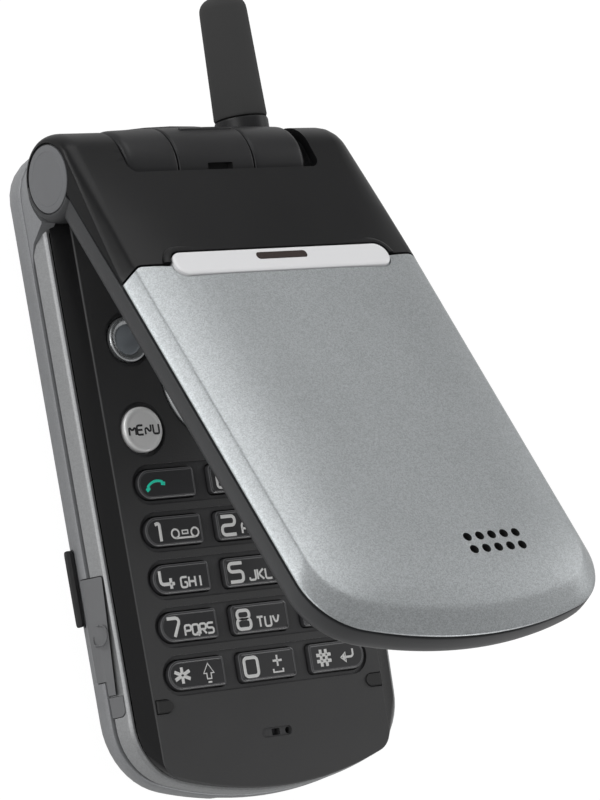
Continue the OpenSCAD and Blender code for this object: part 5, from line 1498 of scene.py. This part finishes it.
class Legend:
    """Printed characters and signs, drawn as strokes of even width with rounded corners."""

    FLAT = 0.3  # height of printed strokes as a share of their width

    @staticmethod
    def strokes(name: str, paths: Sequence[Path], radius: float, flatten: float = FLAT) -> Obj:
        """Flat mesh of strokes along paths in the plan plane.

        Args:
            name: The object's name.
            paths: The strokes' lines and arcs.
            radius: Half the width of a stroke.
            flatten: Height of the strokes as a share of their width.

        Returns:
            The strokes, lying about height zero.
        """
        pen = Pen(name)
        for path in paths:
            first, last = path[0], path[-1]
            if len(path) > 2 and len(last) == 2 and math.dist(first, last) < SAME_PLACE:
                pen.ring(path[:-1])
            else:
                pen.chain(path)
        take(pen.lift())
        bpy.ops.object.convert(target="CURVE")
        curve = bpy.context.active_object
        curve.data.bevel_depth = radius
        curve.data.bevel_resolution = 1
        curve.data.use_fill_caps = True
        bpy.ops.object.convert(target="MESH")
        return put(weld(bpy.context.active_object), Matrix.Diagonal((1, 1, flatten, 1)))

    @staticmethod
    def filleted(points: Sequence[Point], radius: float) -> Path:
        """Path through points whose inner corners are rounded by arcs."""
        closed = math.dist(points[0], points[-1]) < SAME_PLACE
        corners = [Vector(p) for p in (points[:-1] if closed else points)]
        count = len(corners)
        path: Path = []
        for index, here in enumerate(corners):
            before, after = corners[index - 1], corners[(index + 1) % count]
            if not closed and index in (0, count - 1):
                path.append(tuple(here))
                continue
            back, onward = (before - here).normalized(), (after - here).normalized()
            bend = math.pi - back.angle(onward)
            cut = min(radius * math.tan(bend / 2), (before - here).length / 2.05, (after - here).length / 2.05)
            if bend < 0.1:
                continue
            r = cut / math.tan(bend / 2)
            start = here + back * cut
            sign = 1 if (here - before).cross(after - here) > 0 else -1
            centre = start + Vector((-(here - before).y, (here - before).x)).normalized() * r * sign
            path.append(tuple(start))
            path.append((centre.x, centre.y, sign * math.degrees(bend), 3))
        if closed:
            path.append(path[0])
        return path

    @classmethod
    def text(cls, words: str, x: float, y: float, size: Lettering) -> Obj:
        """A row of characters that is centred on a point.

        Args:
            words: The characters.
            x: Middle of the row.
            y: Middle of the row's height.
            size: The characters' size and strokes.

        Returns:
            The characters as one mesh.
        """
        paths = []
        for index, letter in enumerate(words):
            left = x + size.pitch * (index - (len(words) - 1) / 2) - size.width / 2
            for stroke in GLYPHS[letter]:
                placed = [(left + u * size.width / 4, y + (v / 6 - 0.5) * size.height) for u, v in stroke]
                paths.append(cls.filleted(placed, size.height * 0.2))
        return cls.strokes("legend", paths, size.radius)

    @classmethod
    def sign(cls, sign: Sign, x: float, y: float) -> Obj:
        """A sign beside the digit that starts a key's legend."""
        paths = [moved(path, x + sign.x, y + sign.y) for path in sign.strokes]
        return cls.strokes("sign", paths, sign.radius)

    @classmethod
    def handset(cls, x: float, y: float, turn: float) -> Obj:
        """Telephone handset, lying at an angle."""
        ends = [cls.strokes("handset_end", [[(side * 1.4, -0.35), (side * 1.2, -0.8)]], 0.34, 0.17)
                for side in (-1, 1)]
        obj = joined(cls.strokes("handset", [[(-1.3, -0.35), (0, -2.0, -76.5, 12)]], 0.18), *ends)
        return put(obj, Matrix.Translation((x, y, 0)) @ Matrix.Rotation(math.radians(turn), 4, "Z"))


# ---- Keypad -----------------------------------------------------------------------------


@dataclass
class Keypad(Assembly):
    """Keys, direction ring and their legends. Each piece rides on its own key's body."""

    top: float = -3.51
    foot: float = -5.86
    digits: str = "123456789*0#"
    letters: tuple[str, ...] = ("", "ABC", "DEF", "GHI", "JKL", "MNO", "PQRS", "TUV", "WXYZ", "", "", "")
    digit_x: tuple[float, float, float] = (-14.1, -2.75, 9.5)  # middle of the digit in each column

    @staticmethod
    def rows(sizes: Sizes) -> list[float]:
        """Middle of each key row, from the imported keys."""
        boxes = [sizes.node_box(node) for node in ("key_mid", "key_2", "key_5", "key_8", "key_0")]
        return [(low.y + high.y) / 2 for low, high in boxes]

    def key(self, node: str, row_y: float, column: int, legend: Obj, ink: Finish) -> None:
        """One key of the rows, with a bevelled rim round a slightly sunk top, and its legend.

        Args:
            node: The CAD node that it stands for, and its body.
            row_y: Middle of its row.
            column: -1 left, 0 middle or 1 right.
            legend: What is printed on it.
            ink: Finish of the legend.
        """
        key_h = self.sizes.key_h

        def outline(shrink: float) -> Path:
            """The key's outline, drawn in by some amount."""
            if column == 0:
                return rounded_rect(0, row_y, 9.4 - 2 * shrink, key_h - 2 * shrink, 0.6 - shrink * 0.5, 5)
            return self.sizes.side_key(row_y, shrink, column)

        steps = ((-5.24, 0.0), (self.top - 0.26, 0.0), (self.top - 0.1, 0.05), (self.top - 0.01, 0.17),
                 (self.top, 0.27), (self.top - 0.03, 0.38), (self.top - 0.05, 0.5))
        obj = loft(f"{node}_dark", [(height, outline(shrink)) for height, shrink in steps])
        flange = loft("flange", [(height, outline(-0.38)) for height in (self.foot, -5.27)])
        dress(joined(obj, flange), KEY_DARK)
        # The bevelled rim round the key's top gets a lighter grey: painted highlight.
        dress_faces(obj, KEY_RIM_HIGHLIGHT, lambda c, n: self.top - 0.13 < c.z and 0.15 < n.z < 0.97)
        joined(obj, self.printed(legend, ink, self.top - 0.045))
        self.shop.settle(obj, node, "key_dark", node)

    @staticmethod
    def printed(legend: Obj, ink: Finish, height: float) -> Obj:
        """Lays a legend at a height in its ink."""
        return dress(put(legend, Matrix.Translation((0, 0, height))), ink)

    def number_keys(self) -> None:
        """The twelve number keys with digits, letters and signs."""
        rows = self.rows(self.sizes)
        for index, (digit, letters) in enumerate(zip(self.digits, self.letters)):
            row, column = rows[1 + index // 3], index % 3 - 1
            x = self.digit_x[column + 1]
            parts = [Legend.text(digit, x, row - 0.05, DIGITS)]
            if len(letters) > 3:
                parts.append(Legend.text(letters, x + 3.9, row - 0.6, FOUR_LETTERS))
            elif letters:
                parts.append(Legend.text(letters, x + 4.0, row - 0.6, LETTERS))
            else:
                parts.append(Legend.sign(SIGNS[digit], x, row))
            name = {"*": "star", "#": "hash"}.get(digit, digit)
            self.key(f"key_{name}", row, column, joined(*parts), PRINT_WHITE)

    def call_keys(self) -> None:
        """Upper row: green call key, clear key and red end key."""
        row = self.rows(self.sizes)[0]
        self.key("key_call", row, -1, Legend.handset(-13.7, row + 0.25, 14), PRINT_GREEN)
        self.key("key_mid", row, 0, Legend.text("C", -2.6, row - 0.3, CLEAR_SIGN), PRINT_WHITE)
        self.key("key_end", row, 1, Legend.handset(13.0, row + 0.1, 0), PRINT_RED)

    def round_key(self, node: str, pearl: bool) -> None:
        """One of the four round keys.

        Args:
            node: The CAD node that it stands for, and its body.
            pearl: A pearl button with a fine ring, or else a polished ring round a smoked dome.
        """
        low, high = self.sizes.node_box(node)
        x, y = (low.x + high.x) / 2, (low.y + high.y) / 2
        rise = self.top - self.foot
        # Depth below the top and radius, from the side to the middle
        if pearl:
            rim = ((0.34, 3.1), (0.16, 3.04), (0.04, 2.9), (0, 2.7), (0.02, 2.5), (0.06, 2.38), (0.05, 2.2),
                   (0.02, 1.2), (0.01, 0))
        else:
            rim = ((0.45, 3.1), (0.2, 3.04), (0.05, 2.88), (0, 2.68), (0.06, 2.48), (0.28, 2.2), (0.34, 2.08),
                   (0.26, 1.95), (0.14, 1.6), (0.05, 1.1), (0.01, 0.5), (0, 0))
        profile = [(0, 0), (0, 3.5), (0.6, 3.5), (0.62, 3.1), *[(rise - depth, r) for depth, r in rim]]
        obj = dress(stand(turned(f"{node}_round", profile), (x, y, self.foot), UP), PEARL if pearl else CHROME)
        if not pearl:
            dress_faces(obj, DOME, lambda c, n: c.z > -5 and (c.xy - Vector((x, y))).length < 2.05)
        if node == "menu_key":
            joined(obj, self.printed(Legend.text("MENU", x, y - 0.1, MENU_WORD), PRINT_DARK, self.top - 0.015))
        self.shop.settle(obj, node, "menu_white" if pearl else "soft_key_silver", node)

    def ring(self) -> None:
        """Direction ring with an arrow mark at each quarter."""
        foot, y = -6.11, self.sizes.nav_y
        profile: Path = [
            (0.3, 3.7), (0.3, 9.6), (1.9, 9.6), (2.3, 9.5), (2.6, 9.22), (2.72, 8.8), (2.75, 8.2), (2.68, 7.4),
            (2.52, 6.4), (2.42, 5.2), (2.4, 4.3), (2.36, 4.0), (2.25, 3.78), (2.05, 3.7), (0.3, 3.7)]
        obj = stand(turned("nav_ring_silver", profile, 96), (0, y, foot), UP)
        marks = joined(*[
            put(Legend.strokes("ring_mark", [[(-0.7, 6.3), (0, 7.0), (0.7, 6.3)]], 0.14, 0.4),
                Matrix.Translation((0, y, foot + 2.52)) @ Matrix.Rotation(math.radians(90 * quarter), 4, "Z"))
            for quarter in range(4)])
        obj = joined(dress(obj, CHROME), dress(marks, PRINT_DARK))
        self.shop.settle(obj, "nav_ring", "nav_silver", "nav_ring")

    def ok_key(self) -> None:
        """Key inside the direction ring."""
        low, high = self.sizes.node_box("ok_key")
        rise, y = high.z - low.z, self.sizes.nav_y
        profile: Path = [(0, 0), (0, 3.4), (rise - 0.3, 3.4), (rise - 0.1, 3.32), (rise, 3.05), (rise - 0.03, 2.6),
                         (rise - 0.14, 1.4), (rise - 0.17, 0)]
        obj = dress(stand(turned("ok_key_silver", profile), (0, y, low.z), UP), PEARL)
        joined(obj, self.printed(Legend.text("OK", 0, y, OK_WORD), PRINT_DARK, high.z - 0.14))
        self.shop.settle(obj, "ok_key", "ok_silver", "ok_key")

    def round_keys(self) -> None:
        """The four keys round the direction ring."""
        for node, pearl in (("soft_key_left", False), ("soft_key_right", False), ("menu_key", True),
                            ("clear_key", True)):
            self.round_key(node, pearl)

    def makers(self) -> Sequence[Callable[[], None]]:
        """Methods that make the keys."""
        return self.number_keys, self.call_keys, self.round_keys, self.ring, self.ok_key


# ---- Inner parts and studio -------------------------------------------------------------


class InnerParts:
    """Finishes of the CAD nodes that keep their own shape."""

    LOOKS: dict[str, Finish] = {
        "main_board": BOARD, "shield_cans": TIN, "keypad_mat": SILICONE, "microphone": SOUND,
        "headset_jack": CONNECTOR, "sim_holder": TIN, "vibration_motor": STEEL, "antenna_ferrule": BRASS,
        "case_screws": STEEL, "hinge_pin": STEEL, "camera_window": LENS, "camera_module": CONNECTOR,
        "indicator_lens": SLOT_DARK, "display_module": SCREEN, "receiver": SOUND, "loudspeaker": SOUND,
        "hinge_module": STEEL, "lid_screws": STEEL, "flex_cable": FLEX,
    }

    def __init__(self, nodes: dict[str, Obj]) -> None:
        """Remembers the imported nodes."""
        self.nodes = nodes

    def build(self) -> None:
        """Dresses every node that is still shown."""
        for name, node in self.nodes.items():
            if not node.hide_render:
                dress(node, self.LOOKS.get(name, CASE_BLACK))
                LOG.info("%s keeps its shape", name)


@dataclass
class Studio:
    """White floor, soft lights and the camera."""

    eye: tuple[float, float, float] = (-0.31799, -0.05427, 0.44728)
    aim: tuple[float, float, float] = (0.009916, 0.008092, 0.0158)
    roll: float = 72.126
    focal: float = 4000.0  # focal length in pixels of a frame 800 high
    frame_height: float = 800.0
    sensor: float = 36.0
    lamp_aim: tuple[float, float, float] = (0, 0, 0.02)
    world_strength: float = 0.3
    floor_glow: float = 1.12
    floor_share: float = 0.85  # how much of the floor's own glow the camera sees
    # Name, place, side length in metres and power in watts
    lamps: tuple[tuple[str, tuple[float, float, float], float, float], ...] = (
        ("back_light", (0.08, 0.72, 0.46), 0.6, 2.1),
        ("back_left_light", (-0.62, 0.5, 0.16), 0.3, 1.4),
        ("left_light", (-0.8, 0.1, 0.45), 0.4, 2.0),
        ("right_light", (0.75, 0.3, 0.35), 0.4, 0.9),
        ("front_light", (0.5, -0.42, 0.66), 0.25, 1.5),
    )

    def camera(self) -> None:
        """Places the camera by its eye, its aim and its roll about the line of sight."""
        take()
        bpy.ops.object.camera_add(location=self.eye)
        camera = bpy.context.active_object
        sight = Vector(self.aim) - Vector(self.eye)
        level = sight.to_track_quat("-Z", "Y").to_matrix().to_4x4()
        camera.matrix_world = (Matrix.Translation(Vector(self.eye)) @ level
                               @ Matrix.Rotation(math.radians(self.roll), 4, "Z"))
        camera.data.sensor_fit = "VERTICAL"
        camera.data.sensor_height = self.sensor
        camera.data.lens = self.focal / self.frame_height * self.sensor
        camera.data.clip_start = 0.01
        bpy.context.scene.camera = camera

    def softbox(self, name: str, place: Sequence[float], size: float, power: float) -> None:
        """Square soft light that faces the phone."""
        take()
        bpy.ops.object.light_add(type="AREA", location=place)
        lamp = bpy.context.active_object
        lamp.name = name
        lamp.data.shape = "SQUARE"
        lamp.data.size = size
        lamp.data.energy = power
        lamp.rotation_euler = (Vector(self.lamp_aim) - Vector(place)).to_track_quat("-Z", "Y").to_euler()

    def white_surroundings(self) -> None:
        """World that lights softly, and shows white to the camera and through glass."""
        world = bpy.data.worlds.new("studio_world")
        bpy.context.scene.world = world
        world.use_nodes = True
        tree = world.node_tree
        path = add_node(tree, "LightPath", {}).outputs
        rays = {0: path["Is Camera Ray"], 1: path["Is Transmission Ray"]}
        seen = add_node(tree, "Math", rays, operation="MAXIMUM").outputs[0]
        strength = add_node(tree, "MapRange", {"To Min": self.world_strength, "To Max": 1.0, "Value": seen})
        feed(tree, tree.nodes["Background"], {"Color": (1, 1, 1, 1), "Strength": strength.outputs["Result"]})

    def floor(self) -> None:
        """Pale floor that shows white, with the soft shadow of the phone."""
        take()
        bpy.ops.mesh.primitive_plane_add(size=8.0, location=(0, 0, 0))
        obj = bpy.context.active_object
        obj.name = "studio_floor"
        material = bpy.data.materials.new("studio_floor_white")
        material.use_nodes = True
        tree = material.node_tree
        shader = feed(tree, tree.nodes["Principled BSDF"], {
            "Base Color": (0.86, 0.86, 0.86, 1), "Roughness": 0.9, "Specular IOR Level": 0.1})
        glow = add_node(tree, "Emission", {"Color": (1, 1, 1, 1), "Strength": self.floor_glow})
        camera_ray = add_node(tree, "LightPath", {}).outputs["Is Camera Ray"]
        share = add_node(tree, "Math", {0: camera_ray, 1: self.floor_share}, operation="MULTIPLY")
        mix = add_node(tree, "MixShader", {"Fac": share.outputs[0], 1: shader.outputs[0], 2: glow.outputs[0]})
        feed(tree, tree.nodes["Material Output"], {"Surface": mix.outputs[0]})
        obj.data.materials.append(material)

    def build(self) -> None:
        """Sets up camera, lights and floor."""
        bpy.context.scene.view_settings.view_transform = "Standard"
        self.camera()
        self.white_surroundings()
        self.floor()
        for lamp in self.lamps:
            self.softbox(*lamp)


def main() -> None:
    """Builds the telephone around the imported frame."""
    logging.basicConfig(level=logging.INFO, format="%(message)s")
    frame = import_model()
    sizes = Sizes.from_frame(frame)
    shop = Workshop(sizes)
    Studio().build()
    for assembly in (Lid, Hinge, Base, Keypad):
        assembly(sizes, shop).build()
    InnerParts(frame["nodes"]).build()
    take()


if __name__ == "__main__":
    main()
